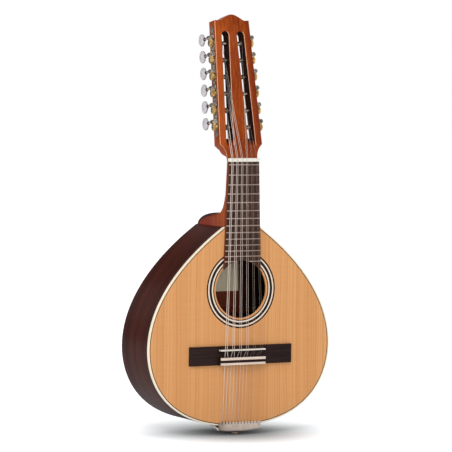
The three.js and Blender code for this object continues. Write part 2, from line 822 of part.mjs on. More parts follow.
// Slot, string ramp and roller holes of one edge, in the head's plane
function headCutters(row) {
  const frame = edgeFrames.get(row);
  const middle = -row * slotInset;
  const half = slotWidth / 2;
  const rampTop = slotFootHeight + slotRampRun;
  const outline = [point(middle - half, rampTop), point(middle + half, rampTop)];
  for (let i = 0; i <= slotEndSegments; i += 1) {
    const angle = Math.PI * i / slotEndSegments;
    outline.push(point(middle + half * Math.cos(angle), slotTopHeight - half + half * Math.sin(angle)));
  }
  const slot = plate(outline, -overrun, headThickness + overrun);
  const rampSlope = slotRampRun / headThickness;
  const ramp = slab([
    point(-overrun, slotFootHeight - overrun * rampSlope),
    point(headThickness + overrun, rampTop + overrun * rampSlope),
    point(headThickness + overrun, rampTop + half),
    point(-overrun, rampTop + half),
  ].reverse(), middle - half, middle + half, sideBasis);
  const socketEnd = slotInset + half + stripSocketDepth;
  const cutters = [slot, ramp];
  for (let i = 0; i < tunersPerSide; i += 1) {
    const hole = rod(journalHoleRadius, -socketEnd, overrun, roundSides, sideBasis);
    if (row < 0) hole.translate(socketEnd - overrun, 0, 0);
    hole.translate(0, rollerDepth, rollerHeight(i));
    cutters.push(hole);
  }
  frame.updateMatrix();
  return cutters.map((cutter) => cutter.applyMatrix4(frame.matrix));
}

function addNeck() {
  const cutters = rows.flatMap(headCutters);
  const head = cut(plate(headOutline(), 0, headThickness), ...cutters).applyMatrix4(headFrame.matrixWorld);
  const nutSeatRoom = box(-nutWidth, nutWidth, -headThickness, 0, -2 * nutThickness, 0);
  const footHalf = shoulderWidth / 2 - 2 * innerInset;
  const foot = box(
    -footHalf, footHalf, soundboardThickness, ribDepth, shoulderZ - footLength, shoulderZ + overrun);
  add('neck', cut(join(neckShaft(), head, foot), nutSeatRoom), mahogany);
}

// Machine plate of one edge: scalloped strip, roller holes, and a front and a rear lug for each worm
function addMachinePlate(row, label) {
  const frame = edgeFrames.get(row);
  const [first, last] = [rollerHeight(0), rollerHeight(tunersPerSide - 1)];
  const steps = plateStepsPerPitch * (tunersPerSide - 1);
  const edge = [];
  for (let i = 0; i <= steps; i += 1) {
    const z = THREE.MathUtils.lerp(first, last, i / steps);
    const swell = plateScallop * Math.cos(2 * Math.PI * i / plateStepsPerPitch);
    edge.push(point(rollerDepth + plateHalfWidth + swell, z));
  }
  const endHalf = plateHalfWidth - 2 * plateScallop;
  edge.unshift(
    point(rollerDepth + endHalf / 2, first - plateFootReach),
    point(rollerDepth + endHalf, first - plateFootReach + endHalf));
  edge.push(
    point(rollerDepth + endHalf, last + plateTopReach - endHalf),
    point(rollerDepth + endHalf / 2, last + plateTopReach));
  const outline = [...edge, ...edge.map(({ x, y }) => point(2 * rollerDepth - x, y)).reverse()];
  const holes = Array.from({ length: tunersPerSide }, (_, i) => (
    circle(plateHoleRadius, roundSides, rollerDepth, rollerHeight(i))));
  const strip = slab(outline, plateGap, plateGap + plateThickness, sideBasis, holes);
  const pieces = [strip];
  for (let i = 0; i < tunersPerSide; i += 1) {
    lugDepths().forEach((depth) => pieces.push(lug(depth, rollerHeight(i) + wormAxisUp)));
  }
  const treble = join(...pieces);
  add(`machine_plate_${label}`, row > 0 ? treble : flipped(treble), nickel, frame);
}

// Mirror image across X = 0, with its faces still pointing out
function flipped(geometry) {
  const copy = geometry.clone().scale(-1, 1, 1);
  copy.setIndex(Array.from(copy.index.array).reverse());
  return copy;
}

// Depths of the two lugs' middles, clear of the thread's two ends
function lugDepths() {
  const clearOfThread = lugRunningGap + lugThickness / 2;
  return [rollerDepth + threadStart - clearOfThread, rollerDepth + threadEnd + clearOfThread];
}

// Folded ear with a round end and the worm's bearing hole
function lug(depth, height) {
  const root = plateGap + plateThickness / 2;
  const arch = [point(root, height - lugHalfWidth)];
  for (let i = 0; i <= lugArchSegments; i += 1) {
    const angle = Math.PI * (i / lugArchSegments - 1 / 2);
    arch.push(point(wormAxisOut + lugHalfWidth * Math.cos(angle), height + lugHalfWidth * Math.sin(angle)));
  }
  arch.push(point(root, height + lugHalfWidth));
  const bearing = circle(lugHoleRadius, bearingSides, wormAxisOut, height);
  return plate(arch, depth - lugThickness / 2, depth + lugThickness / 2, [bearing]);
}

// Angle of a step on the worm, where the crest of the middle step faces +Y at mid length
function wormAngle(step) {
  const away = (step - threadMiddleStep) % wormSides;
  return Math.PI / 2 + 2 * Math.PI * away / wormSides;
}

// Triangles of a single-start right-hand thread on the Z axis.
// Crest, two flanks and the root strip climb together; the root line closes on a level ring at each end.
function threadCorners() {
  const flankRun = (wormBaseWidth - wormCrestWidth) / 2;
  const at = (step, radius, lift) => {
    const angle = wormAngle(step);
    const z = threadStart + lift + wormPitch * step / wormSides;
    return spot(radius * Math.cos(angle), radius * Math.sin(angle), z);
  };
  const root = (step) => at(step, wormRootRadius, 0);
  const low = (step) => at(step, wormTipRadius, flankRun);
  const high = (step) => at(step, wormTipRadius, flankRun + wormCrestWidth);
  const foot = (step) => at(step, wormRootRadius, wormBaseWidth);
  const startRing = (step) => root(step).setZ(threadStart);
  const endRing = (step) => root(step).setZ(threadEnd);
  const corners = [];
  const quad = (a, b, c, d) => corners.push(a, b, c, a, c, d);
  const last = threadSteps;
  for (let i = 0; i < last; i += 1) {
    quad(root(i), root(i + 1), low(i + 1), low(i));
    quad(low(i), low(i + 1), high(i + 1), high(i));
    quad(high(i), high(i + 1), foot(i + 1), foot(i));
    quad(foot(i), foot(i + 1), root(i + 1 + wormSides), root(i + wormSides));
  }
  for (let i = 1; i < wormSides; i += 1) {
    quad(startRing(i - 1), startRing(i), root(i), root(i - 1));
    quad(root(last + i), root(last + i + 1), endRing(last + i + 1), endRing(last + i));
  }
  quad(startRing(wormSides - 1), root(0), foot(0), root(wormSides));
  corners.push(startRing(wormSides - 1), root(wormSides), root(wormSides - 1));
  quad(foot(last), root(last), root(last + 1), endRing(last + 1));
  corners.push(foot(last), endRing(last + 1), endRing(last));
  quad(root(0), low(0), high(0), foot(0));
  quad(root(last), foot(last), high(last), low(last));
  return corners;
}

// Worm shaft: front journal, thread, rear journal, collar and oval button, on the Z axis
function wormGeometry() {
  const corners = threadCorners();
  const ringAt = (along, halfX, halfY = halfX) => Array.from({ length: wormSides }, (_, i) => (
    spot(halfX * Math.cos(wormAngle(i)), halfY * Math.sin(wormAngle(i)), along)));
  const lugReach = lugThickness + 2 * lugRunningGap;
  const frontRings = [
    ringAt(threadStart - lugReach, wormPinRadius),
    ringAt(threadStart, wormPinRadius),
    ringAt(threadStart, wormRootRadius),
  ];
  const buttonFrom = buttonStart - rollerDepth;
  const collarFrom = threadEnd + lugReach;
  const rearRings = [
    ringAt(threadEnd, wormRootRadius),
    ringAt(threadEnd, wormPinRadius),
    ringAt(collarFrom, wormPinRadius),
    ringAt(collarFrom, collarRadius),
    ringAt(collarFrom + collarLength, collarRadius),
    ringAt(collarFrom + collarLength, buttonNeckRadius),
    ringAt(buttonFrom, buttonNeckRadius),
  ];
  for (let i = 1; i < buttonRings; i += 1) {
    const angle = Math.PI * i / buttonRings;
    const fullness = Math.sqrt(Math.sin(angle));
    const along = buttonFrom + buttonLength * (1 - Math.cos(angle)) / 2;
    rearRings.push(ringAt(along, buttonHalfThickness * fullness, buttonHalfHeight * fullness));
  }
  rearRings.push(ringAt(buttonFrom + buttonLength, buttonHalfThickness / 2, buttonHalfHeight / 2));
  corners.push(...fan(frontRings[0].slice().reverse()), ...skin(frontRings));
  corners.push(...skin(rearRings), ...fan(rearRings[rearRings.length - 1]));
  return closedMesh(corners);
}

// Gear with slanted teeth that follow the worm's lead, on the Z axis, with a gap facing +Y at mid thickness
function gearGeometry() {
  const slant = wormPitch / (2 * Math.PI * wormPitchRadius) / gearPitchRadius;
  const rootRadius = gearPitchRadius - toothHeight / 2;
  const tipRadius = gearPitchRadius + toothHeight / 2;
  const outline = (turn) => {
    const ring = [];
    for (let tooth = 0; tooth < gearTeeth; tooth += 1) {
      const middle = Math.PI / 2 + turn + 2 * Math.PI * (tooth + 1 / 2) / gearTeeth;
      const rootHalf = toothRootWidth / 2 / rootRadius;
      const tipHalf = toothTipWidth / 2 / tipRadius;
      ring.push([rootRadius, middle - rootHalf], [tipRadius, middle - tipHalf]);
      ring.push([tipRadius, middle + tipHalf], [rootRadius, middle + rootHalf]);
    }
    return ring;
  };
  const half = gearThickness / 2;
  return loft([-half, half].map((z) => outline(slant * z).map(([radius, angle]) => (
    spot(radius * Math.cos(angle), radius * Math.sin(angle), z)))));
}

// Gear, journal, roller and inner journal of one machine, about the X axis of the edge frame
function rollerGeometry(row) {
  const wheel = gearGeometry().applyMatrix4(sideBasis).translate(row * wormAxisOut, 0, 0);
  const slotOuter = slotInset - slotWidth / 2;
  const slotInner = slotInset + slotWidth / 2;
  const stations = [
    [wormAxisOut, journalRadius],
    [-slotOuter - rollerSideClearance, journalRadius],
    [-slotOuter - rollerSideClearance, rollerRadius],
    [-slotInner + rollerSideClearance, rollerRadius],
    [-slotInner + rollerSideClearance, journalRadius],
    [-slotInner - stripSocketDepth + jointGap, journalRadius],
  ].map(([along, radius]) => [row * along, radius]);
  return join(wheel, turned(stations, roundSides, sideBasis));
}

// Worm lies square to the face, above its gear; both turn in place
function addMachines(row, label) {
  const frame = edgeFrames.get(row);
  const button = wormGeometry().applyMatrix4(shaftAlongY);
  const roller = rollerGeometry(row);
  for (let i = 0; i < tunersPerSide; i += 1) {
    const height = rollerHeight(i);
    const wheel = add(`roller_${label}_${i + 1}`, roller, brass, frame);
    wheel.position.set(0, rollerDepth, height);
    const knob = add(`button_${label}_${i + 1}`, button, pearl, frame);
    knob.position.set(row * wormAxisOut, rollerDepth, height + wormAxisUp);
  }
}

// Tailpiece: a bent sheet that follows the tail's curve, with an open notch for each string
function tailProfile(x) {
  const rise = outlineZAt(x, 0) - tailZ;
  const lipTop = tailZ + tailLipAbove;
  const foldZ = tailZ - tailDrop + rise;
  const footZ = tailZ - tailFootGap + rise;
  const wallBack = -tailLipGap;
  const wallFront = wallBack - tailSheet;
  const underRise = tailFoldRise - tailFootGap;
  const outer = [
    point(wallFront, lipTop),
    point(wallFront, foldZ + tailSheet),
    point(wallBack, foldZ),
    point(tailFoldReach, foldZ + underRise),
    point(tailFootReach, footZ - tailSheet),
  ];
  const inner = [
    point(tailFootReach, footZ),
    point(tailFoldReach - tailSheet, footZ),
    point(wallBack + tailSheet / 2, foldZ + tailSheet),
    point(wallBack, foldZ + 2 * tailSheet),
    point(wallBack, lipTop),
  ];
  return [...outer, ...inner];
}

function addTailpiece() {
  const half = tailpieceWidth / 2;
  const places = Array.from({ length: tailSections + 1 }, (_, i) => (2 * i / tailSections - 1) * half);
  const rings = places.map((x) => tailProfile(x).map(({ x: y, y: z }) => spot(x, y, z)));
  const faces = THREE.ShapeUtils.triangulateShape(tailProfile(0), []);
  const [first, last] = [rings[0], rings[rings.length - 1]];
  const ends = faces.flatMap(([a, b, c]) => [first[c], first[b], first[a], last[a], last[b], last[c]]);
  const sheet = closedMesh([...skin(rings), ...ends]);
  const notches = stringList.map((_, i) => box(
    tailX(i) - tailNotchWidth / 2, tailX(i) + tailNotchWidth / 2,
    -tailLipGap - tailSheet - overrun, -tailLipGap + overrun,
    tailZ + tailLipAbove - tailNotchDepth, tailZ + tailLipAbove + overrun));
  const pinHole = pinBore(tailZ - 2 * tailDrop, tailZ - tailFootGap);
  add('tailpiece', cut(sheet, ...notches, pinHole), nickel);
}

// Strap button: its shaft goes through the tailpiece into the tail block
function addEndPin() {
  const reach = (endPinBack + tailLipGap) / (tailFoldReach + tailLipGap);
  const under = tailDrop - reach * tailFoldRise;
  const seat = tailZ - under - jointGap - tailSheet;
  const stations = [
    [seat - endPinHeadLength, endPinHeadRadius / 2],
    [seat - endPinHeadLength + overrun, endPinHeadRadius],
    [seat - endPinHeadLength / 2, endPinHeadRadius],
    [seat - endPinHeadLength / 4, endPinWaistRadius],
    [seat, endPinWaistRadius],
    [seat, endPinShaftRadius],
    [tailZ + endPinSeatDepth, endPinShaftRadius],
  ];
  add('end_pin', turned(stations, roundSides, planBasis).translate(0, endPinBack, 0), ebony);
}

// Each string: two turns on its roller, then nut, zero fret, saddle, tie block and tailpiece notch
function stringRun({ radius, course, member }, index) {
  const row = course < stringRadii.length / 2 ? -1 : 1;
  const fromOutside = row < 0 ? course * stringsPerCourse + member
    : (stringRadii.length - 1 - course) * stringsPerCourse + (stringsPerCourse - 1 - member);
  const frame = edgeFrames.get(row);
  const wrap = rollerRadius + radius + stringLift;
  const step = 2 * radius + windingGap;
  const height = rollerHeight(fromOutside);
  const landing = -row * slotInset + row * landingShares[fromOutside] * slotWidth;
  const run = [];
  const total = windingTurns * windingSteps;
  for (let i = 0; i <= total; i += 1) {
    const angle = 2 * Math.PI * (i - total) / windingSteps;
    const across = landing - row * step * (1 - i / total) * windingTurns;
    const place = spot(
      across, rollerDepth - wrap * Math.cos(angle), height + wrap * Math.sin(angle));
    run.push(place.applyMatrix4(frame.matrixWorld));
  }
  const nutX = courseX(course, member, courseSpacingAtNut, pairSpacingAtNut);
  const saddleX = courseX(course, member, courseSpacingAtSaddle, pairSpacingAtSaddle);
  const fretTop = -(boardThickness + fretHeight + stringLift + radius);
  const nutFloor = -(nutHeight - nutNotchDepth + stringLift + radius);
  const saddleTop = -(saddleHeight + stringLift + radius);
  const endX = tailX(index);
  const notchZ = tailZ + tailLipAbove - tailNotchDepth;
  run.push(
    spot(nutX, nutFloor, stringLift),
    spot(nutX, nutFloor, -nutThickness),
    spot(nutX, fretTop, zeroFretZ),
    spot(saddleX, saddleTop, saddleZ + saddleCrownWidth / 2),
    spot(saddleX, saddleTop, saddleZ - saddleCrownWidth / 2),
    spot(endX, -stringHoleHeight, tieFrontZ + stringHoleRadius / 2),
    spot(endX, -stringHoleHeight, tieBackZ - stringHoleRadius / 2),
    spot(endX, -tailLipGap - tailSheet / 2, notchZ + tailNotchDepth / 2 + radius),
    spot(endX, -tailLipGap / 2 - stringLift, notchZ + radius + stringLift));
  return run;
}

// Least distance between the surfaces of two turns of one winding, measured on its points
function leastGap(run, radius) {
  const turns = run.slice(0, windingTurns * windingSteps + 1);
  let least = Infinity;
  turns.forEach((here, i) => turns.slice(i + windingSteps / 2).forEach((there) => {
    least = Math.min(least, here.distanceTo(there) - 2 * radius);
  }));
  return least;
}

function addStrings() {
  let least = Infinity;
  stringList.forEach((string, index) => {
    const wound = string.course < woundCourses;
    const run = stringRun(string, index);
    least = Math.min(least, leastGap(run, string.radius));
    const wire = tube(run, string.radius, wound ? woundSides : plainSides);
    add(`string_${index + 1}`, wire, wound ? bronze : steel);
  });
  console.log(`Least gap between two turns of a string: ${least.toFixed(2)} mm`);
}

bandurria.add(headFrame);
addSoundbox();
addFingerboard();
addNut();
addBridge();
addNeck();
rows.forEach((row) => {
  const label = row < 0 ? 'bass' : 'treble';
  addMachinePlate(row, label);
  addMachines(row, label);
});
addTailpiece();
addEndPin();
addStrings();

export default bandurria;
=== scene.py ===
import math

import bmesh
import bpy
import numpy as np
from mathutils import Matrix, Vector


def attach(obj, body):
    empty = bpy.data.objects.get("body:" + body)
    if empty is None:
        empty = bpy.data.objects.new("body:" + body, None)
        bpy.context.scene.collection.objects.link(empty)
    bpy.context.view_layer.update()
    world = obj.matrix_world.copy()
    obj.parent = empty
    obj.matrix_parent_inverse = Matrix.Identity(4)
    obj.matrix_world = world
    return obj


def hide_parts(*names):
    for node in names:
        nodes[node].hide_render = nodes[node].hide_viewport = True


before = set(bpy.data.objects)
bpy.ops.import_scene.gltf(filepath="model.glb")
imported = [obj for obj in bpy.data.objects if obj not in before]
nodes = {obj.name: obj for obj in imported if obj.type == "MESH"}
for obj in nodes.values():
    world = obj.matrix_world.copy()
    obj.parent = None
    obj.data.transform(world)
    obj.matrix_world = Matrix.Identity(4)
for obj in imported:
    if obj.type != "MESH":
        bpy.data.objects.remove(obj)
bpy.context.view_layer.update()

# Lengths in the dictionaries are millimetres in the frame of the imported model:
# +X to the treble side, +Y to the back, +Z up the neck, origin at the head end of the nut.
# A mask is the value at which a tone starts, that at which it is full and, if below 1, its share there.
# A pair called rough is the ends of the roughness, and one called relief a bump's depth and strength.
mm = 0.001
scene = bpy.context.scene
print("frame loaded,", len(nodes), "nodes")


# Shader maths: a socket that adds its own Math nodes when it is used in an expression
class Value:
    def __init__(self, shader, socket):
        self.shader, self.socket = shader, socket

    def maths(self, operation, *others):
        return self.shader.node("ShaderNodeMath", {"operation": operation}, self, *others)

    def __add__(self, other): return self.maths("ADD", other)
    __radd__ = __add__

    def __mul__(self, other): return self.maths("MULTIPLY", other)
    __rmul__ = __mul__

    def __sub__(self, other): return self.maths("SUBTRACT", other)
    def __rsub__(self, other): return (self * -1.0) + other
    def __truediv__(self, other): return self.maths("DIVIDE", other)
    def __pow__(self, other): return self.maths("POWER", other)
    def __lt__(self, other): return self.maths("LESS_THAN", other)
    def __gt__(self, other): return self.maths("GREATER_THAN", other)
    def clamp(self): return self.shader.node("ShaderNodeClamp", {}, self, 0.0, 1.0)


# One material, or the world's tree where that is given; node adds any node and plugs its sockets in
class Shader:
    def __init__(self, name, tree=None):
        if tree is not None:
            self.tree = tree
            return
        self.material = bpy.data.materials.new(name)
        self.material.use_nodes = True
        self.tree = self.material.node_tree
        self.tree.nodes.clear()
        self.surface = self.tree.nodes.new("ShaderNodeBsdfPrincipled")
        out = self.tree.nodes.new("ShaderNodeOutputMaterial")
        self.tree.links.new(self.surface.outputs[0], out.inputs[0])

    def plug(self, target, value):
        if isinstance(value, Value):
            self.tree.links.new(value.socket, target)
        elif isinstance(value, (tuple, list)) and len(value) == 3 and target.type == "RGBA":
            target.default_value = (*value, 1.0)
        elif value is not None:
            target.default_value = value

    def node(self, kind, settings, *values, out=0, **named):
        node = self.tree.nodes.new(kind)
        for key, value in settings.items():
            if key == "stops":
                ramp = node.color_ramp
                while len(ramp.elements) < len(value):
                    ramp.elements.new(1.0)
                for element, (place, colour) in zip(ramp.elements, value):
                    element.position = place
                    element.color = (*colour, 1.0)
            elif key == "interpolation":
                node.color_ramp.interpolation = value
            else:
                setattr(node, key, value)
        for index, value in enumerate(values):
            self.plug(node.inputs[index], value)
        for key, value in named.items():
            self.plug(node.inputs[key.replace("_", " ")], value)
        return Value(self, node.outputs[out])

    # Object coordinates in millimetres, stretched by a scale on each axis and then moved by an offset
    def place(self, scale=(1.0, 1.0, 1.0), offset=(0.0, 0.0, 0.0)):
        coords = self.node("ShaderNodeTexCoord", {}, out=3)
        return self.node("ShaderNodeMapping", {}, Vector=coords, Location=offset,
                         Scale=tuple(s / mm for s in scale))

    def axes(self, vector):
        first = self.node("ShaderNodeSeparateXYZ", {}, vector)
        return [Value(self, output) for output in first.socket.node.outputs]

    # Noise in three dimensions: a plain triple is the stretch of the object coordinates
    def grain(self, stretch, detail, rough=0.5, bend=0.0):
        vector = stretch if isinstance(stretch, Value) else self.place(stretch)
        return self.node("ShaderNodeTexNoise", {}, Vector=vector, Scale=1.0, Detail=detail,
                         Roughness=rough, Distortion=bend)

    # Noise along one number, with about one wave in each gap
    def stripes(self, value, gap, detail):
        return self.node("ShaderNodeTexNoise", {"noise_dimensions": "1D"}, W=value / gap, Scale=1.0,
                         Detail=detail)

    # Runs from toLow to toHigh while the value runs from low to high
    def span(self, value, low, high, toLow, toHigh):
        return self.node("ShaderNodeMapRange", {}, value, low, high, toLow, toHigh)

    # 0 where the value is at start, 1 where it is at full, and held beyond both
    def fade(self, value, start, full):
        return self.span(value, start, full, 0.0, 1.0).clamp()

    def mix(self, share, first, second, blend="MIX"):
        skipped = [None] * 5   # the node's sockets for numbers and vectors
        return self.node("ShaderNodeMix", {"data_type": "RGBA", "blend_type": blend}, share, *skipped,
                         first, second, out=2)

    # Lays a colour over the base where the value passes a mask: start, full and, if below 1, its share
    def tint(self, base, value, mask, colour):
        share = self.fade(value, *mask[:2])
        for limit in mask[2:]:
            share = share * limit
        return self.mix(share, base, seen(*colour))

    def bump(self, height, depth, strength):
        return self.node("ShaderNodeBump", {}, Strength=strength, Distance=depth * mm, Height=height)

    def finish(self, colour, rough, metal=0.0, normal=None, **fixed):
        sockets = {"Base Color": colour, "Roughness": rough, "Metallic": metal}
        sockets.update({key.replace("_", " "): value for key, value in fixed.items()})
        if normal is not None:
            sockets["Normal"] = normal
        for key, value in sockets.items():
            self.plug(self.surface.inputs[key], value)
        return self.material


# A colour written as the 0-255 numbers that an eye compares, as scene linear
def seen(red, green, blue):
    share = np.array([red, green, blue]) / 255
    linear = np.where(share <= 0.04045, share / 12.92, ((share + 0.055) / 1.055) ** 2.4)
    return tuple(float(part) for part in linear)


# Distance from the soundhole's middle, and height above it
def aroundHole(s):
    x, _, z = s.axes(s.place(offset=(0.0, 0.0, -hole["z"])))
    return (x * x + z * z) ** 0.5, z


# Lacquered cedar: closely spaced growth lines up the board, wide pale and dark bands, faint silk across, and
# painted shade on the soundhole's upper edge
cedarLook = dict(
    pale=(229, 167, 107), main=(217, 151, 91), late=(188, 119, 66), silk=(230, 178, 124), rim=(70, 44, 32),
    wander=14.0, lineGap=1.0, coarseGap=3.4, bandGap=26.0, holeShadeWidth=0.45, holeShadeFrom=22.0,
    bandMask=(0.3, 0.7), lineMask=(0.52, 0.74, 0.5), coarseMask=(0.48, 0.66, 0.34),
    silkMask=(0.35, 0.75, 0.16), fibreMask=(0.4, 0.9, 0.22), rough=(0.4, 0.5), relief=(0.03, 0.35),
    lacquer=dict(Coat_Weight=0.12, Coat_Roughness=0.16, Specular_IOR_Level=0.2))


def makeCedar():
    look = cedarLook
    s = Shader("cedar_top")
    warp = s.grain((0.012, 0.0, 0.0035), 2.0)
    x, _, _ = s.axes(s.place())
    lined = x + warp * look["wander"]
    lines = s.stripes(lined, look["lineGap"], 1.0)
    bands = s.stripes(lined, look["bandGap"], 2.0)
    silk = s.grain((0.02, 0.0, 0.35), 3.0)
    fibre = s.grain((3.0, 0.0, 0.06), 2.0)
    coarse = s.stripes(lined, look["coarseGap"], 2.0)
    base = s.tint(seen(*look["pale"]), bands, look["bandMask"], look["main"])
    base = s.tint(base, lines, look["lineMask"], look["late"])
    base = s.tint(base, coarse, look["coarseMask"], look["late"])
    base = s.tint(base, silk, look["silkMask"], look["silk"])
    base = s.tint(base, fibre, look["fibreMask"], look["late"])
    radius, z = aroundHole(s)
    # Painted shade: a dark tone along the upper edge of the soundhole
    rim = (radius < hole["radius"] + look["holeShadeWidth"]) * (z > look["holeShadeFrom"])   # the upper edge of the hole
    base = s.mix(rim, base, seen(*look["rim"]))
    rough = s.span(fibre, 0.2, 0.8, *look["rough"])
    normal = s.bump(lines * 0.6 + fibre * 0.4, *look["relief"])
    return s.finish(base, rough, normal=normal, **look["lacquer"])


# Dark red-brown ribs and back: streaks along each rib's own map or up the back, fine pores
rosewoodLook = dict(
    dark=(40, 10, 4), main=(70, 22, 9), warm=(94, 33, 14), pore=(30, 14, 13),
    broadMask=(0.34, 0.66), fineMask=(0.45, 0.75, 0.55), poreMask=(0.6, 0.72, 0.5),
    bare=(132, 66, 44), bareStreak=(104, 46, 30), shaded=(40, 22, 17), shadeMask=(26.0, 60.0),
    rough=(0.36, 0.5), relief=(0.02, 0.3),
    lacquer=dict(Coat_Weight=0.06, Coat_Roughness=0.12, Specular_IOR_Level=0.06))


def makeRosewood(name, followsRim):
    look = rosewoodLook
    s = Shader(name)
    if followsRim:
        along, across, _ = s.axes(s.node("ShaderNodeUVMap", {"uv_map": "rim"}))
    else:
        across, _, along = s.axes(s.place((mm, mm, mm)))
    stretched = lambda a, b: s.node("ShaderNodeCombineXYZ", {}, along * a, across * b, 0.0)
    broad = s.grain(stretched(3.0, 55.0), 3.0, 0.55, 0.6)
    fine = s.grain(stretched(12.0, 420.0), 3.0, 0.6)
    pores = s.grain(stretched(90.0, 2600.0), 1.0)
    base = s.tint(seen(*look["dark"]), broad, look["broadMask"], look["main"])
    base = s.tint(base, fine, look["fineMask"], look["warm"])
    base = s.tint(base, pores, look["poreMask"], look["pore"])
    if not followsRim:   # the inside face of the back is bare, and dim away from the soundhole
        x, depth, _ = s.axes(s.place())
        bare = s.mix(broad, seen(*look["bare"]), seen(*look["bareStreak"]))
        # Painted shade: the bare inside face darkens towards the treble side, away from the soundhole
        bare = s.tint(bare, x, look["shadeMask"], look["shaded"])
        base = s.mix(depth < walls["depth"] + 0.02, base, bare)
    rough = s.span(pores, 0.3, 0.75, *look["rough"])
    return s.finish(base, rough, normal=s.bump(pores * -1.0, *look["relief"]), **look["lacquer"])


# Orange-brown neck wood: long grain up the neck, short dark pores, deeper stain in broad patches
mahoganyLook = dict(
    deep=(120, 42, 10), main=(158, 68, 18), light=(186, 92, 32), pore=(96, 32, 14),
    patchMask=(0.3, 0.7), streakMask=(0.42, 0.72, 0.6), poreMask=(0.6, 0.7, 0.5),
    # crown and slot are painted shade on the heel's crown and in the head's slots, edge a painted highlight
    # on the head's bass-facing edges, cheek painted light on its bass cheek, and deep also serves as painted
    # shade on its treble edge
    heel=(124, 28, 6), heelShare=0.8, crown=(62, 22, 14), crownDepth=51.0, crownHeight=12.6, crownTaper=4.2,
    slot=(48, 20, 12), slotRough=0.5, edge=(246, 184, 146), edgeHighlightShare=0.8,
    cheek=(190, 90, 32), cheekLightShare=0.45, trebleShadeShare=0.85, inside=(74, 30, 18), insideShare=0.75,
    rough=(0.34, 0.46), relief=(0.03, 0.3), coat=0.12, coatRough=0.14, shine=0.08)


# Painted shade: 1 on the heel's rear and its rounded edge, outside a quarter ellipse on each flank
def crownShade(s):
    h, look = heelSizes, mahoganyLook
    _, y, z = s.axes(s.place())
    back = (y - h["crown"]) / look["crownDepth"]
    up = (z - shape["shoulderZ"]) / ((1.0 - back).clamp() ** 2.0 * look["crownTaper"] + look["crownHeight"])
    outside = s.fade(back * back + up * up, 0.9, 1.15)
    top = shape["shoulderZ"] + h["height"]
    return outside * s.fade(z, top + 4.0, top + 1.0) * s.fade(y, h["crown"] - 6.0, h["crown"] + 2.0)


# Position across the head, up it and behind its front face
def headAxes(s):
    lean = math.radians(neckSizes["tilt"])
    x, y, z = s.axes(s.place())
    y = y - neckSizes["headStep"]
    return x, z * math.cos(lean) + y * math.sin(lean), y * math.cos(lean) - z * math.sin(lean)


# Painted highlight: 1 on the head's front edges that face the bass side
def edgeHighlight(s):
    _, up, depth = headAxes(s)
    facing, _, _ = s.axes(s.node("ShaderNodeTexCoord", {}, out=1))
    return s.fade(facing, -0.25, -0.55) * s.fade(depth, 1.5, 1.0) * (up > 0.5)


# 1 on the walls of the head's two slots, where shade is painted
def slotShade(s):
    n = neckSizes
    taper = math.tan(headTaper())
    x, up, depth = headAxes(s)
    middle = n["headHalf"] + n["headHalfAt"] * taper - n["slotInset"]
    off = (x.maths("ABSOLUTE") + up * taper - middle).maths("ABSOLUTE")
    inside = (off < n["slotWidth"] / 2 + 0.15) * (up < n["slotTop"] + 0.3)
    inside = inside * s.fade(up, n["slotFoot"] + 2.0, n["slotFoot"] + 9.0)
    return inside * s.fade(depth, 0.3, 1.2) * (depth < n["thickness"] - 0.3)


# Painted light and shade: on the head's front the bass cheek is a little paler than the middle, and the
# treble edge darker
def cheekLightAndShade(s, base):
    n, look = neckSizes, mahoganyLook
    taper = math.tan(headTaper())
    x, up, depth = headAxes(s)
    half = n["headHalf"] + n["headHalfAt"] * taper - up * taper
    front = s.fade(depth, 1.6, 0.6) * (up > 0.5)
    cheek = s.fade(x + half, 13.5, 11.0) * s.fade(up, 8.0, 24.0) * s.fade(up, 196.0, 180.0)
    base = s.mix(cheek * front * look["cheekLightShare"], base, seen(*look["cheek"]))
    return s.mix(s.fade(x - half, -12.0, -2.0) * front * look["trebleShadeShare"], base, seen(*look["deep"]))


# The neck's wood has its heel stain and painted light and shade; that of the inside pieces is darker, with
# painted shade to the treble side
def makeMahogany(name="mahogany"):
    look = mahoganyLook
    s = Shader(name)
    patches = s.grain((0.03, 0.03, 0.012), 2.0)
    streaks = s.grain((0.35, 0.35, 0.016), 3.0, 0.55, 0.4)
    pores = s.grain((2.6, 2.6, 0.16), 1.5)
    base = s.tint(seen(*look["deep"]), patches, look["patchMask"], look["main"])
    base = s.tint(base, streaks, look["streakMask"], look["light"])
    base = s.tint(base, pores, look["poreMask"], look["pore"])
    rough, coat = s.span(pores, 0.3, 0.7, *look["rough"]), look["coat"]
    if name == "mahogany":
        _, depth, up = s.axes(s.place())
        heel = s.fade(depth, 22.0, 50.0) * (up < -60.0) * look["heelShare"]
        base = s.mix(heel, base, seen(*look["heel"]))
        base = cheekLightAndShade(s, s.mix(crownShade(s), base, seen(*look["crown"])))
        slots = slotShade(s)
        # Painted shade in the slots
        base = s.mix(slots, base, seen(*look["slot"]))
        base = s.mix(edgeHighlight(s) * look["edgeHighlightShare"], base, seen(*look["edge"]))
        rough, coat = rough + slots * look["slotRough"], (1.0 - slots) * coat
    else:
        x, _, _ = s.axes(s.place())
        base = s.mix(look["insideShare"], base, seen(*look["inside"]))
        # Painted shade inside the body, towards the treble side
        base = s.tint(base, x, rosewoodLook["shadeMask"], rosewoodLook["shaded"])
    return s.finish(base, rough, normal=s.bump(pores * -1.0, *look["relief"]), Coat_Weight=coat,
                    Coat_Roughness=look["coatRough"], Specular_IOR_Level=look["shine"])


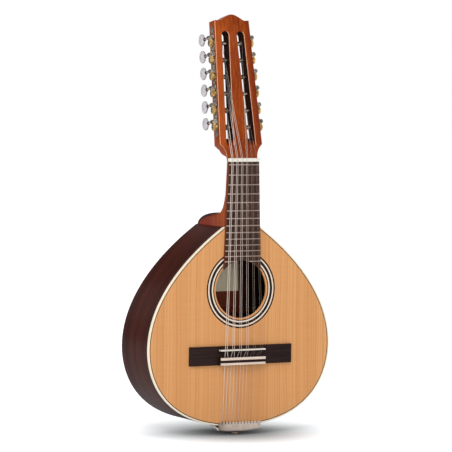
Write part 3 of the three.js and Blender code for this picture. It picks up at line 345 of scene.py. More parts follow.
# Dark open-pored wood, oiled: fingerboard, bridge and end pin differ in colour and finish
darkWoods = dict(
    dark_fingerboard=dict(dark=(52, 33, 26), main=(74, 49, 39), light=(94, 64, 51), rough=(0.46, 0.66),
                          coat=0.05, flank=(126, 64, 40), flankDark=(92, 44, 28), flankFrom=-3.8),
    dark_bridge=dict(dark=(28, 15, 13), main=(46, 27, 24), light=(64, 38, 33), rough=(0.36, 0.56), coat=0.05),
    end_pin_dark=dict(dark=(30, 19, 15), main=(50, 32, 25), light=(70, 46, 36), rough=(0.35, 0.55),
                      coat=0.4, face=(186, 160, 138), faceMask=(-391.4, -392.3)),
)
darkGrain = dict(mainMask=(0.35, 0.6), lightMask=(0.58, 0.78, 0.7), pore=(14, 9, 9), poreMask=(0.6, 0.7, 0.6),
                 streak=(0.02, 0.5), poreStretch=(0.2, 3.0), relief=(0.05, 0.5), coatRough=0.25, shine=0.1)


def makeDarkWood(name, alongX=False):
    look, g = darkWoods[name], darkGrain
    s = Shader(name)
    stretched = lambda along, across: (along, across, across) if alongX else (across, across, along)
    streaks = s.grain(stretched(*g["streak"]), 3.0, 0.6, 0.5)
    pores = s.grain(stretched(*g["poreStretch"]), 1.5)
    base = s.tint(seen(*look["dark"]), streaks, g["mainMask"], look["main"])
    base = s.tint(base, streaks, g["lightMask"], look["light"])
    base = s.tint(base, pores, g["poreMask"], g["pore"])
    if "flank" in look:
        _, depth, _ = s.axes(s.place())
        flank = s.mix(streaks, seen(*look["flankDark"]), seen(*look["flank"]))
        base = s.mix(depth > look["flankFrom"], base, flank)
    if "face" in look:
        _, _, up = s.axes(s.place())
        base = s.tint(base, up, look["faceMask"], look["face"])
    rough = s.span(pores, 0.3, 0.7, *look["rough"])
    return s.finish(base, rough, normal=s.bump(pores * -1.0, *g["relief"]), Coat_Weight=look["coat"],
                    Coat_Roughness=g["coatRough"], Specular_IOR_Level=g["shine"])


# Plain materials: layers of noise lay tones over a base colour, and one layer moves the roughness and bump.
# A layer is its stretch, detail, roughness and bend, a tone its layer, name and mask, and rough the least
# value, what the layer adds and which layer that is.
boneLook = dict(layers=(((0.15, 1.2, 1.2), 3.0), ((1.2, 4.0, 4.0), 1.0)), pore=(196, 180, 152),
                tones=((0, "warm", (0.35, 0.7)), (1, "pore", (0.66, 0.74, 0.4))), rough=(0.28, 0.12, 0),
                gloss=dict(Coat_Weight=0.25, Coat_Roughness=0.2))
plainLooks = dict(
    # bone, new or handled: off-white with faint streaks and tiny dark pores
    bone=dict(boneLook, base=(246, 242, 232), warm=(232, 224, 206)),
    aged_bone=dict(boneLook, base=(232, 212, 196), warm=(214, 190, 170)),
    # bare inside wood: pale, with soft grain and saw marks
    spruce=dict(layers=(((0.8, 0.8, 0.03), 3.0), ((0.1, 0.1, 1.4), 2.0)), base=(216, 184, 138),
                late=(190, 150, 104), tones=((0, "late", (0.35, 0.7)),), rough=(0.7, 0.15, 1),
                relief=(0.06, 0.4), gloss={}),
    # ivory plastic: an even warm white with faint long streaks
    ivory_binding=dict(layers=(((0.5, 0.5, 0.05), 2.0),), base=(249, 237, 214), warm=(243, 228, 200),
                       tones=((0, "warm", (0.3, 0.7)),), rough=(0.24, 0.1, 0),
                       gloss=dict(Coat_Weight=0.5, Coat_Roughness=0.1)),
    # purfling: near-black dyed wood with a fine grain
    dark_line=dict(layers=(((2.0, 2.0, 0.4), 2.0),), base=(32, 19, 10), light=(54, 34, 19),
                   tones=((0, "light", (0.0, 1.0)),), rough=(0.32, 0.1, 0),
                   gloss=dict(Coat_Weight=0.1, Coat_Roughness=0.15, Specular_IOR_Level=0.1)),
    # pearl-grey plastic: soft clouds and thin swirling veils under a clear gloss
    button_pearl=dict(layers=(((0.12, 0.12, 0.12), 3.0, 0.5, 1.6), ((0.4, 0.25, 0.4), 4.0, 0.6, 3.0)),
                      base=(206, 199, 203), cloud=(182, 177, 184), veil=(224, 219, 222),
                      tones=((0, "cloud", (0.3, 0.7)), (1, "veil", (0.5, 0.7, 0.5))), rough=(0.16, 0.1, 0),
                      gloss=dict(Coat_Weight=0.8, Coat_Roughness=0.05, Subsurface_Weight=0.12,
                                 Subsurface_Radius=(0.004, 0.004, 0.004))),
    # plain aged paper: fibres and a little foxing
    label_paper=dict(layers=(((1.5, 1.5, 1.5), 4.0), ((0.05, 0.05, 0.05), 3.0)), base=(238, 226, 196),
                     fox=(214, 196, 158), tones=((1, "fox", (0.4, 0.75, 0.5)),), rough=(0.85, 0.1, 0),
                     relief=(0.03, 0.4), gloss={}),
)


def makePlain(name):
    look = plainLooks[name]
    s = Shader(name)
    layers = [s.grain(*layer) for layer in look["layers"]]
    base = seen(*look["base"])
    for index, tone, mask in look["tones"]:
        base = s.tint(base, layers[index], mask, look[tone])
    least, gain, index = look["rough"]
    normal = s.bump(layers[index], *look["relief"]) if "relief" in look else None
    return s.finish(base, layers[index] * gain + least, normal=normal, **look["gloss"])


# Rosette: ring colours by distance from the soundhole's middle, with a grain that breaks them up a little
rosetteLook = dict(line=(52, 28, 18), pale=(250, 232, 212), dark=(34, 20, 14), grain=(120, 96, 78),
                   rings=((43.3, "line"), (45.0, "pale"), (47.2, "dark"), (51.0, "pale"), (53.1, "line")),
                   rough=0.3, lacquer=dict(Coat_Weight=0.12, Coat_Roughness=0.12, Specular_IOR_Level=0.1))


def makeRosette():
    look, inner = rosetteLook, hole["rosetteInner"]
    s = Shader("rosette_rings")
    radius, _ = aroundHole(s)
    wide = hole["rosetteOuter"] - inner
    stops = [(max(0.0, (at - inner) / wide), seen(*look[tone])) for at, tone in look["rings"]]
    steps = {"stops": stops, "interpolation": "CONSTANT"}
    rings = s.node("ShaderNodeValToRGB", steps, (radius - inner) / wide)
    fibre = s.grain((1.4, 1.4, 0.5), 2.0)
    base = s.mix(fibre * 0.25, rings, seen(*look["grain"]), "MULTIPLY")
    return s.finish(base, look["rough"] + fibre * 0.08, **look["lacquer"])


# Metals: an even colour with rubbed patches, and a fine brushing in the bump and the roughness; where a metal
# sets its own patch size and share, the dark patches are also painted reflections.
# A cap is a darker tone behind one depth of the head: painted shade on the gear's rear part, and on the worm
# a darker tone from its ferrule on. The tailpiece's sheet has painted shade at its bass end and a painted
# highlight on its fold.
metalLooks = dict(
    nickel=dict(main=(206, 196, 182), wearAndReflection=(52, 43, 36), rough=0.16, brush=(0.3, 3.0, 3.0), patch=0.3,
                share=0.85, metal=0.8),
    nickel_sheet=dict(main=(216, 200, 188), wearAndReflection=(194, 177, 163), rough=0.24, brush=(0.06, 0.5, 0.5),
                      metal=0.5, bassShade=(128, 112, 88), bassShadeMask=(-19.0, -34.0), bassShadeShare=0.85,
                      foldHighlight=(252, 244, 240), foldHighlightShare=0.8, foldHighlightFrom=-1.3),
    gear_brass=dict(main=(252, 210, 132), wearAndReflection=(150, 100, 44), rough=0.2, brush=(1.5, 1.5, 1.5), patch=0.28,
                    share=0.8, metal=0.6, cap=(84, 54, 26), capMask=(9.0, 11.6)),
    worm_steel=dict(main=(206, 196, 184), wearAndReflection=(92, 82, 72), rough=0.14, brush=(2.0, 0.4, 2.0), patch=0.25,
                    share=0.8, cap=(64, 50, 44), capMask=(22.6, 22.7)),
    fret_metal=dict(main=(218, 198, 188), wearAndReflection=(180, 160, 150), rough=0.28, brush=(0.4, 3.0, 3.0)),
    string_plain=dict(main=(168, 148, 132), wearAndReflection=(150, 132, 118), rough=0.34, brush=(2.0, 2.0, 0.2),
                      metal=0.4),
)
# Painted shade: the dark tone of the boxes that stand for the screws' slots
screwSlotShade = (58, 52, 46)


def makeMetal(name, slotShadeTone=None):
    look = metalLooks[name]
    s = Shader(name if slotShadeTone is None else name + "_dark")
    patches = s.grain([look.get("patch", 0.12)] * 3, 3.0)
    brushing = s.grain(look["brush"], 2.0)
    main, mask = seen(*(slotShadeTone or look["main"])), (0.42, 0.62, look.get("share", 0.6))
    # Rubbed wear, and painted reflections on the metals with their own patch size
    base = s.tint(main, patches, mask, look["wearAndReflection"])
    if "cap" in look:
        # Painted shade on the gear's rear part; on the worm a darker tone from its ferrule on
        _, _, depth = headAxes(s)
        base = s.tint(base, depth, look["capMask"], look["cap"])
    if name == "string_plain":
        base = darkStringEnds(s, base)
    if "bassShade" in look:
        # Painted shade towards the bass end of the tailpiece's wall, and a painted highlight on its fold
        x, depth, _ = s.axes(s.place())
        bassShade = s.fade(x, *look["bassShadeMask"]) * (depth < look["foldHighlightFrom"])
        base = s.mix(bassShade * look["bassShadeShare"], base, seen(*look["bassShade"]))
        base = s.mix((depth > look["foldHighlightFrom"]) * look["foldHighlightShare"], base, seen(*look["foldHighlight"]))
    rough = look["rough"] + brushing * 0.12 + s.fade(patches, 0.45, 0.8) * 0.1
    return s.finish(base, rough, look.get("metal", 1.0), s.bump(brushing, 0.01, 0.25))


# String ends: painted shade on those inside the head's slots, and a darker tone on those at the tailpiece's
# notches
stringEnds = dict(tone=(60, 48, 42), slotShadeShare=0.75, notchShare=0.9)


def darkStringEnds(s, base):
    _, up, depth = headAxes(s)
    _, _, z = s.axes(s.place())
    inside = s.fade(depth, -1.0, 2.5) * s.fade(up, 20.0, 40.0) * stringEnds["slotShadeShare"]
    atNotch = s.fade(z, tailSizes["lipTop"] + 3.0, tailSizes["lipTop"] + 1.6) * stringEnds["notchShare"]
    return s.mix(inside + atNotch, base, seen(*stringEnds["tone"]))


# Wound string: ridges of the covering wire along the attribute that counts millimetres of string
woundLook = dict(pale=(228, 212, 202), stain=(208, 190, 180), groove=(150, 126, 112), pitch=0.22, rough=0.4,
                 metal=0.25, relief=(0.05, 0.3))


def makeWound():
    look = woundLook
    s = Shader("string_wound")
    along = s.node("ShaderNodeAttribute", {"attribute_name": "along"}, out=2)
    ridge = (along * (2 * math.pi / look["pitch"])).maths("SINE")
    stain = s.grain((0.2, 0.2, 0.05), 3.0)
    base = s.mix(stain, seen(*look["pale"]), seen(*look["stain"]))
    base = s.mix(s.span(ridge, -1.0, 0.2, 0.15, 0.0).clamp(), base, seen(*look["groove"]))
    return s.finish(darkStringEnds(s, base), look["rough"], look["metal"], s.bump(ridge, *look["relief"]))


# Meshes. Grid of quads over rows x columns of points, closed on either way where asked
def gridQuads(rows, columns, closeRows=False, closeColumns=False):
    row, column = np.meshgrid(np.arange(rows if closeRows else rows - 1),
                              np.arange(columns if closeColumns else columns - 1), indexing="ij")
    nextRow, nextColumn = (row + 1) % rows, (column + 1) % columns
    corners = [row * columns + column, row * columns + nextColumn,
               nextRow * columns + nextColumn, nextRow * columns + column]
    return np.stack(corners, -1).reshape(-1, 4).tolist()


# Mesh from points in millimetres, its normals recalculated, with a map or an attribute where given
def buildMesh(name, points, faces, uv=None, along=None):
    mesh = bpy.data.meshes.new(name)
    mesh.from_pydata((np.asarray(points) * mm).tolist(), [], faces)
    corners = np.zeros(len(mesh.loops), np.int32)
    mesh.loops.foreach_get("vertex_index", corners)
    if uv is not None:
        layer = mesh.uv_layers.new(name="rim")
        layer.data.foreach_set("uv", (np.asarray(uv) * mm)[corners].ravel())
    if along is not None:
        mesh.attributes.new("along", "FLOAT", "POINT").data.foreach_set("value", np.asarray(along, float))
    work = bmesh.new()
    work.from_mesh(mesh)
    bmesh.ops.recalc_face_normals(work, faces=work.faces)
    work.to_mesh(mesh)
    work.free()
    return mesh


# Puts a mesh in the scene with its material, the body that it rides on and what it stands for
def addPiece(name, mesh, material, slotName, body="root", stands=(), sharp=35.0, bevel=0.0, segments=3):
    piece = bpy.data.objects.new(name, mesh)
    scene.collection.objects.link(piece)
    mesh.materials.clear()
    mesh.materials.append(material)
    mesh.polygons.foreach_set("use_smooth", [True] * len(mesh.polygons))
    mesh.set_sharp_from_angle(angle=math.radians(sharp))
    if bevel:
        edge = piece.modifiers.new("edge", "BEVEL")
        edge.width = bevel * mm
        edge.segments = segments
        edge.limit_method = "ANGLE"
        edge.angle_limit = math.radians(30.0)
        edge.harden_normals = True
        edge.miter_outer = "MITER_ARC"
    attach(piece, body)
    if stands:
        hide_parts(*stands)
    return piece


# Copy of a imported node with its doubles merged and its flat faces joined, for softened edges
def softened(node, material, slotName, bevel):
    name = node + "_fine"
    work = bmesh.new()
    work.from_mesh(nodes[node].data)
    bmesh.ops.remove_doubles(work, verts=work.verts, dist=0.002 * mm)
    bmesh.ops.dissolve_limit(work, angle_limit=math.radians(0.5), verts=work.verts, edges=work.edges)
    mesh = bpy.data.meshes.new(name)
    work.to_mesh(mesh)
    work.free()
    for attribute in [a.name for a in mesh.attributes if a.name.startswith(("custom", "sharp"))]:
        mesh.attributes.remove(mesh.attributes[attribute])
    addPiece(name, mesh, material, slotName, stands=(node,), bevel=bevel)


# Loop of (across, up) points laid in the plane at one depth
def atDepth(loop, depth):
    return np.column_stack([loop[:, 0], np.full(len(loop), depth), loop[:, 1]])


# Loop of (depth, up) points repeated at each of some places across
def acrossAt(loop, places):
    return np.stack([np.column_stack([np.full(len(loop), place), loop]) for place in places])


# Surface over rows of rings, each row joined to the next; the last joins the first or both ends are capped
def ringTube(rings, closed=False):
    rows, columns = rings.shape[:2]
    faces = gridQuads(rows, columns, closed, True)
    if not closed:
        last = (rows - 1) * columns
        faces += [list(range(columns)), list(range(last, last + columns))]
    return rings.reshape(-1, 3), faces


# Piece between loops of equal length stacked through the depth
def addLoops(name, loops, depths, material, slotName, closed=True, **finish):
    rings = np.stack([atDepth(loop, depth) for loop, depth in zip(loops, depths)])
    addPiece(name, buildMesh(name, *ringTube(rings, closed)), material, slotName, **finish)


# Circle of points round a centre: centre plus radius times cosine and sine
def roundLoop(radius, count, centre):
    angle = np.linspace(0, 2 * math.pi, count, endpoint=False)
    return centre + radius * np.column_stack([np.cos(angle), np.sin(angle)])


# S-shaped rise from 0 to 1: three squares less two cubes
def smooth(share):
    return share * share * (3 - 2 * share)


# Values between the stations of a table, with a monotone cubic so that nothing overshoots
def between(stations, values, at):
    stations, values = np.asarray(stations, float), np.asarray(values, float)
    gap = np.diff(stations)
    slope = np.diff(values) / gap
    tangent = np.concatenate([slope[:1], np.where(slope[1:] * slope[:-1] > 0,
                              2 * slope[1:] * slope[:-1] / (slope[1:] + slope[:-1] + 1e-12), 0), slope[-1:]])
    i = np.clip(np.searchsorted(stations, at, "right") - 1, 0, len(gap) - 1)
    t = (at - stations[i]) / gap[i]
    rise = smooth(t)
    return (values[i] * (1 - rise) + values[i + 1] * rise
            + gap[i] * (tangent[i] * t * (1 - t) ** 2 - tangent[i + 1] * t * t * (1 - t)))


# Body outline: two cubic curves from the tail to the shoulder, moved in along their normals
shape = dict(halfWidth=147.3, widestZ=-268.6, tailZ=-382.1, shoulderZ=-97.8, shoulderHalf=30.0,
             slope=46.4, tailShare=0.765, bellyShare=0.454, upperShare=0.565, shoulderShare=0.026,
             steps=56, topSteps=24)
hole = dict(z=-186.7, radius=40.9, rosetteInner=43.3, rosetteOuter=55.5, rosetteDepth=1.2, soft=0.35)
walls = dict(depth=80.0, top=2.4, rib=2.0, back=2.6, backSoft=((0.0, 0.9), (0.25, 0.25), (0.9, 0.0)),
             binding=2.2, bindingDepth=3.4, bindingSoft=((0.3, 0.0), (0.08, 0.12), (0.0, 0.4)),
             line=1.15, lineDepth=1.6, blockGap=0.1, blockZ=(-123.8, -97.0),
             seam=0.06, grainShift=900.0)
sides = (("bass", -1), ("treble", 1))


# Half outline from the tail to the shoulder: Bezier points, each moved in along its curve's normal
def halfOutline(inset):
    s = shape
    low, high = s["widestZ"] - s["tailZ"], s["shoulderZ"] - s["widestZ"]
    lean = math.radians(s["slope"])
    handle = s["shoulderShare"] * high
    curves = [
        [(0, s["tailZ"]), (s["tailShare"] * s["halfWidth"], s["tailZ"]),
         (s["halfWidth"], s["widestZ"] - s["bellyShare"] * low), (s["halfWidth"], s["widestZ"])],
        [(s["halfWidth"], s["widestZ"]), (s["halfWidth"], s["widestZ"] + s["upperShare"] * high),
         (s["shoulderHalf"] + handle * math.cos(lean), s["shoulderZ"] - handle * math.sin(lean)),
         (s["shoulderHalf"], s["shoulderZ"])],
    ]
    t = np.linspace(0, 1, s["steps"] + 1)[:, None]
    chain = []
    for index, curve in enumerate(curves):
        a, b, c, d = np.array(curve, float)
        place = (1 - t) ** 3 * a + 3 * (1 - t) ** 2 * t * b + 3 * (1 - t) * t * t * c + t ** 3 * d
        along = (1 - t) ** 2 * (b - a) + 2 * (1 - t) * t * (c - b) + t * t * (d - c)
        along /= np.linalg.norm(along, axis=1)[:, None]
        moved = place + inset * np.column_stack([-along[:, 1], along[:, 0]])
        chain.append(moved[index:])
    chain = np.concatenate(chain)
    short = (s["shoulderZ"] - chain[-1, 1]) / along[-1, 1]
    chain[-1] += along[-1] * short
    return chain


# Whole outline as one loop, with points along the straight top so that the soundhole stays round
def outlineLoop(inset):
    half = halfOutline(inset)
    x = np.linspace(half[-1, 0], -half[-1, 0], shape["topSteps"] + 1)[1:-1]
    top = np.column_stack([x, np.full(len(x), shape["shoulderZ"])])
    return np.concatenate([half, top, (half * (-1, 1))[::-1][:-1]])


# Circle round the soundhole: its middle plus the radius along the ray to each point of the outline
def holeLoop(radius, inset):
    away = outlineLoop(inset) - (0.0, hole["z"])
    away /= np.linalg.norm(away, axis=1)[:, None]
    return away * radius + (0.0, hole["z"])


# Soundboard, rosette, purfling, binding, ribs and back: loops of the outline and of the hole at set depths
def makeSoundbox():
    w, edge = walls, walls["binding"] + walls["line"]
    skin, core, rim = outlineLoop(0.0), outlineLoop(w["binding"]), outlineLoop(edge)
    bore, softBore, inner, outer = (holeLoop(radius, edge) for radius in (
        hole["radius"], hole["radius"] + hole["soft"], hole["rosetteInner"], hole["rosetteOuter"]))
    seat, top, soft = hole["rosetteDepth"], w["top"], hole["soft"]
    addLoops("soundboard_fine", [bore, bore, softBore, inner, inner, outer, outer, rim, rim],
             [top, soft, 0.0, 0.0, seat, seat, 0.0, 0.0, top], makeCedar(), "cedar_top",
             stands=("soundboard",))
    addLoops("rosette_fine", [inner, outer, outer, inner], [0.0, 0.0, seat, seat], makeRosette(),
             "rosette_dark", stands=("rosette",))
    addLoops("purfling_line", [core, rim, rim, core], [0.0, 0.0, w["lineDepth"], w["lineDepth"]],
             makePlain("dark_line"), "rosette_dark")
    rounded = [outlineLoop(inset) for inset, _ in w["bindingSoft"]]
    addLoops("binding_fine", [core, *rounded, skin, core],
             [0.0, *(depth for _, depth in w["bindingSoft"]), w["bindingDepth"], w["bindingDepth"]],
             makePlain("ivory_binding"), "ivory_binding", stands=("front_binding",))
    rosewood = makeRosewood("rosewood_ribs", True)
    for side, sign in sides:
        makeRib(side, sign, rosewood)
    rear = w["depth"] + w["back"]
    rounded = [outlineLoop(inset) for inset, _ in w["backSoft"]]
    addLoops("back_fine", [skin, *rounded], [w["depth"], *(rear - before for _, before in w["backSoft"])],
             makeRosewood("rosewood_back", False), "rosewood", closed=False, stands=("back",))


# Rib: the outline at each point of the wall's section, carried from the tail to the shoulder
def makeRib(side, sign, material):
    front, back, thick = walls["bindingDepth"], walls["depth"], walls["rib"]
    depthSteps = np.linspace(front, back, 9)
    section = [(0.0, y) for y in depthSteps] + [(thick, y) for y in depthSteps[::-1]]
    chains = [halfOutline(inset) for inset, _ in section]
    rings = np.stack([np.column_stack([np.maximum(chain[:, 0], walls["seam"]) * sign, np.full(len(chain), y),
                                       chain[:, 1]]) for chain, (_, y) in zip(chains, section)], 1)
    step = np.linalg.norm(np.diff(chains[0], axis=0), axis=1)
    length = np.concatenate([[0.0], np.cumsum(step)])
    uv = np.stack([np.column_stack([length * sign + walls["grainShift"], np.full(len(length), y)])
                   for _, y in section], 1)
    points, faces = ringTube(rings)
    mesh = buildMesh(f"rib_{side}_fine", points, faces, uv=uv.reshape(-1, 2))
    addPiece(f"rib_{side}_fine", mesh, material, "rosewood", stands=(f"rib_{side}",))


# Neck: D-shaped sections from the heel to the head, then the slotted head cut from a rounded slab
neckSizes = dict(nutHalf=24.4, nutThickness=5.0, headStep=1.4, tilt=10.7, thickness=18.0,
                 zeroFret=-9.3, scale=260.0, widthAtTwelfth=58.0, headHalf=34.1, headHalfAt=20.0,
                 earHalf=27.7, earAt=198.6, crownRise=8.6, crownHalf=20.0, crownFullness=0.6,
                 flareAt=(-6.0, 0.0, 6.0, 11.0, 15.5), flareHalf=(24.4, 24.4, 25.0, 26.6, 29.4),
                 slotWidth=11.6, slotInset=16.2, slotTop=183.6, slotFoot=18.6, rampRun=13.0,
                 slotRims=((-0.6, 1.1), (0.0, 0.5), (0.35, 0.12), (0.8, 0.0)), edge=1.0,
                 slabFoot=15.0, ringTop=19.0, tuck=0.25)
heelSizes = dict(height=19.4, half=28.0, foot=82.5, crown=25.0, footRadius=2.0, crownRadius=7.0, sweep=28.0,
                 rise=5.4, fillet=2.6, depthAtHeel=19.6, depthAtNut=17.0, round=1.75, swell=1.0, side=0.03,
                 leanFrom=9.8, lean=3.5)


# Half width of the fingerboard at a height, straight from the nut's to the twelfth fret's
def boardHalf(z):
    n = neckSizes
    share = (n["zeroFret"] - z) / (n["scale"] / 2)
    return n["nutHalf"] + (n["widthAtTwelfth"] / 2 - n["nutHalf"]) * share


# Angle of the head's edge: the arctangent of what the half width loses over the height
def headTaper():
    n = neckSizes
    return math.atan2(n["headHalf"] - n["earHalf"], n["earAt"] - n["headHalfAt"])


# Points of the head's own plane (across, depth, up) as points of the frame
def fromHead(points):
    lean = math.radians(neckSizes["tilt"])
    across, depth, up = points[..., 0], points[..., 1], points[..., 2]
    return np.stack([across, neckSizes["headStep"] + up * math.sin(lean) + depth * math.cos(lean),
                     up * math.cos(lean) - depth * math.sin(lean)], -1)


# D section: flat front, short upright sides, superellipse back
def neckRing(half, depth, full, count=41):
    side = depth * heelSizes["side"]
    angle = np.linspace(math.pi, 0, count)
    c, s = np.cos(angle), np.sin(angle)
    x = half * np.sign(c) * np.abs(c) ** (2 / full)
    y = side + (depth - side) * np.abs(s) ** (2 / full)
    front = np.linspace(1, -1, 9)
    return np.column_stack([np.append(x, front * half), np.append(y, np.zeros(len(front)))])


# Heel section with as many points: sides that lean in towards the rear, round corners, flat rear
def heelRing(half, lean, depth, radius):
    y = np.linspace(0.6, depth - radius, 8)
    start, inner = heelSizes["leanFrom"], half - lean - radius
    upright = np.column_stack([half - lean * np.clip((y - start) / (depth - radius - start), 0, 1), y])
    angle = np.linspace(0, math.pi / 2, 9)[1:]
    corner = np.column_stack([inner + radius * np.cos(angle), depth - radius * (1 - np.sin(angle))])
    rear = np.column_stack([np.linspace(inner, 0, 6)[1:], np.full(5, depth)])
    side = np.concatenate([upright, corner, rear])
    front = np.column_stack([np.linspace(1, -1, 9) * half, np.zeros(9)])
    return np.concatenate([side * (-1, 1), side[::-1][1:], front])


# Rear line of the heel and the neck: a quarter ellipse, a small fillet, a sweep that flattens out
def heelLine():
    h = heelSizes
    turn = np.linspace(0, math.radians(87.5), 30)
    ellipse = np.column_stack([h["height"] * np.sin(turn),
                               h["crown"] + (h["foot"] - h["crown"]) * np.cos(turn)])
    t = np.linspace(0, 1, 9)[1:, None]
    first, last = ellipse[-1], np.array([h["height"] + h["fillet"], h["crown"] - 0.7])
    middle = np.array([h["height"], h["crown"] - 0.3])
    fillet = (1 - t) ** 2 * first + 2 * t * (1 - t) * middle + t * t * last
    share = np.linspace(h["fillet"] / h["sweep"], 1, 26)[1:]
    sweep = np.column_stack([h["height"] + h["sweep"] * share,
                             h["depthAtHeel"] + h["rise"] * (1 - share) ** 1.3])
    top = -neckSizes["nutThickness"] - shape["shoulderZ"]
    up = np.linspace(h["height"] + h["sweep"], top, 9)[1:]
    shaft = np.column_stack([up, np.interp(up, [up[0], top], [h["depthAtHeel"], h["depthAtNut"]])])
    return np.concatenate([ellipse, fillet, sweep, shaft])


# Half width of the head's edge at a height above the nut: S-shaped flare, then the straight taper
def headHalf(up):
    n = neckSizes
    flare = between([*n["flareAt"], n["headHalfAt"]], [*n["flareHalf"], n["headHalf"]],
                    np.minimum(up, n["headHalfAt"]))
    straight = n["headHalf"] - (up - n["headHalfAt"]) * math.tan(headTaper())
    return np.where(up <= n["headHalfAt"], flare, straight)


# Head seen from the front: its flare and taper, straight ears, and a crown that rises as a raised cosine
def headOutline():
    n = neckSizes
    low = np.linspace(n["slabFoot"], n["headHalfAt"], 8)
    side = np.column_stack([headHalf(low), low])
    ear = np.array([[n["earHalf"], n["earAt"]]])
    share = np.linspace(1, 0, 25)
    lift = ((1 + np.cos(math.pi * share)) / 2) ** n["crownFullness"]
    crown = np.column_stack([n["crownHalf"] * share, n["earAt"] + n["crownRise"] * lift])
    half = np.concatenate([side, ear, crown])
    return np.concatenate([half, (half * (-1, 1))[::-1][1:]])


# Loop moved in along its own normals, the loop running anticlockwise
def inward(loop, inset):
    along = np.roll(loop, -1, 0) - np.roll(loop, 1, 0)
    along /= np.linalg.norm(along, axis=1)[:, None]
    return loop + inset * np.column_stack([-along[:, 1], along[:, 0]])


# Helper solid in the scene, for boolean
def solidObject(name, points, faces):
    body = bpy.data.objects.new(name, buildMesh(name, points, faces))
    scene.collection.objects.link(body)
    return body


# Takes the mesh out of a helper solid and removes the helper
def takeMesh(body):
    mesh = body.data
    bpy.data.objects.remove(body)
    return mesh


# Cuts or joins helper solids with the solver for closed meshes, then removes the helpers
def boolean(target, others, operation):
    for other in others:
        step = target.modifiers.new("step", "BOOLEAN")
        step.operation = operation
        step.solver = "MANIFOLD"
        step.object = other
    evaluated = target.evaluated_get(bpy.context.evaluated_depsgraph_get())
    mesh = bpy.data.meshes.new_from_object(evaluated)
    target.modifiers.clear()
    target.data = mesh
    for other in others:
        bpy.data.objects.remove(other)


# Frame of one edge of the head: across is square to the edge, which leans in by the taper
def edgeToHead(points, row):
    n = neckSizes
    lean = -row * headTaper()
    foot = row * (n["headHalf"] + n["headHalfAt"] * math.tan(headTaper()))
    across, depth, up = points[..., 0], points[..., 1], points[..., 2]
    return np.stack([foot + across * math.cos(lean) + up * math.sin(lean), depth,
                     up * math.cos(lean) - across * math.sin(lean)], -1)


# Points of one edge's frame as points of the model's frame
def onEdge(points, row):
    return fromHead(edgeToHead(points, row))


# Slot cutter: straight walls with flared rims at both faces, a round top and a slanting foot
def slotCutter(row):
    n = neckSizes
    rims = [*n["slotRims"], *((n["thickness"] - depth, grow) for depth, grow in n["slotRims"][::-1])]
    angle = np.linspace(0, math.pi, 25)
    half = n["slotWidth"] / 2
    loops = []
    for depth, grow in rims:
        foot = n["slotFoot"] + n["rampRun"] * depth / n["thickness"] - grow
        wide = half + grow
        arc = np.column_stack([wide * np.cos(angle), n["slotTop"] - half + wide * np.sin(angle)])
        loops.append(atDepth(np.concatenate([[[wide, foot]], arc, [[-wide, foot]]]), depth))
    points, faces = ringTube(np.stack(loops))
    return solidObject("slot_cutter", onEdge(points + (-row * n["slotInset"], 0, 0), row), faces)


# Rings of the heel and the neck: heel sections that turn into D sections over the sweep, each as wide
# as the fingerboard and a share of the heel's extra width
def lowerRings():
    h = heelSizes
    rings = []
    for up, depth in heelLine():
        z, above = shape["shoulderZ"] + up, up - h["height"]
        swell = (1 - np.clip(above / h["sweep"], 0, 1)) ** 1.3
        widening = 1 - 0.5 * np.clip(above / h["fillet"], 0, 1)
        if up > h["height"] + h["fillet"]:
            widening = swell / 2
        half = boardHalf(z) + (h["half"] - boardHalf(z)) * widening
        radius = np.interp(up / h["height"], [0, 1], [h["footRadius"], h["crownRadius"]])
        soft = smooth(np.clip((above + 0.4) / (0.4 * h["sweep"]), 0, 1))
        rounding = np.clip((above + h["crownRadius"]) / h["crownRadius"], 0, 1)
        lean = h["lean"] * (1 - math.sqrt(1 - rounding ** 2))
        ring = (heelRing(half, lean, depth, radius) * (1 - soft)
                + neckRing(half, depth, h["round"] + h["swell"] * swell) * soft)
        rings.append(np.column_stack([ring, np.full(len(ring), z)]))
    return rings


# Rings above the nut, in the head's own plane: the D becomes the head's flat-backed section
def upperRings():
    n, h = neckSizes, heelSizes
    rings = []
    for up in np.linspace(0.5, n["ringTop"], 16):
        ease = smooth(min(1.0, up / 13))
        tuck = n["tuck"] * max(0.0, (up - n["slabFoot"]) / (n["ringTop"] - n["slabFoot"]))
        depth = h["depthAtNut"] * (1 - ease) + ease * (n["thickness"] - tuck)
        ring = neckRing(float(headHalf(np.array(up))) - tuck, depth, h["round"] + 14 * ease ** 2)
        ring[:, 1] = np.maximum(ring[:, 1], tuck)
        rings.append(fromHead(np.column_stack([ring, np.full(len(ring), up)])))
    return rings


# Head: its outline stacked through the thickness, drawn in at both faces to round the edges
def headSlab():
    n = neckSizes
    edge, outline = n["edge"], headOutline()
    stations = [(0.0, edge), (0.12 * edge, 0.45 * edge), (0.45 * edge, 0.12 * edge), (edge, 0.0)]
    stations += [(n["thickness"] - depth, inset) for depth, inset in stations[::-1]]
    slab = np.stack([atDepth(inward(outline, inset), depth) for depth, inset in stations])
    return solidObject("head_slab", *ringTube(fromHead(slab)))


# Neck joined to the head, less the slots and the roller bores, and joined to its block inside the body
def makeNeck():
    neck = solidObject("neck_fine", *ringTube(np.stack(lowerRings() + upperRings())))
    boolean(neck, [headSlab()], "UNION")
    cutters = [slotCutter(row) for _, row in sides]
    cutters += [rollerBore(row, i) for _, row in sides for i in range(machine["perSide"])]
    boolean(neck, cutters, "DIFFERENCE")
    half = shape["shoulderHalf"] - 2 * (walls["binding"] + walls["blockGap"])
    block = boxPoints((-half, half), (walls["top"], walls["depth"]), walls["blockZ"])
    boolean(neck, [solidObject("foot_block", *block)], "UNION")
    addPiece("neck_fine", takeMesh(neck), makeMahogany(), "mahogany", stands=("neck",), sharp=32.0)


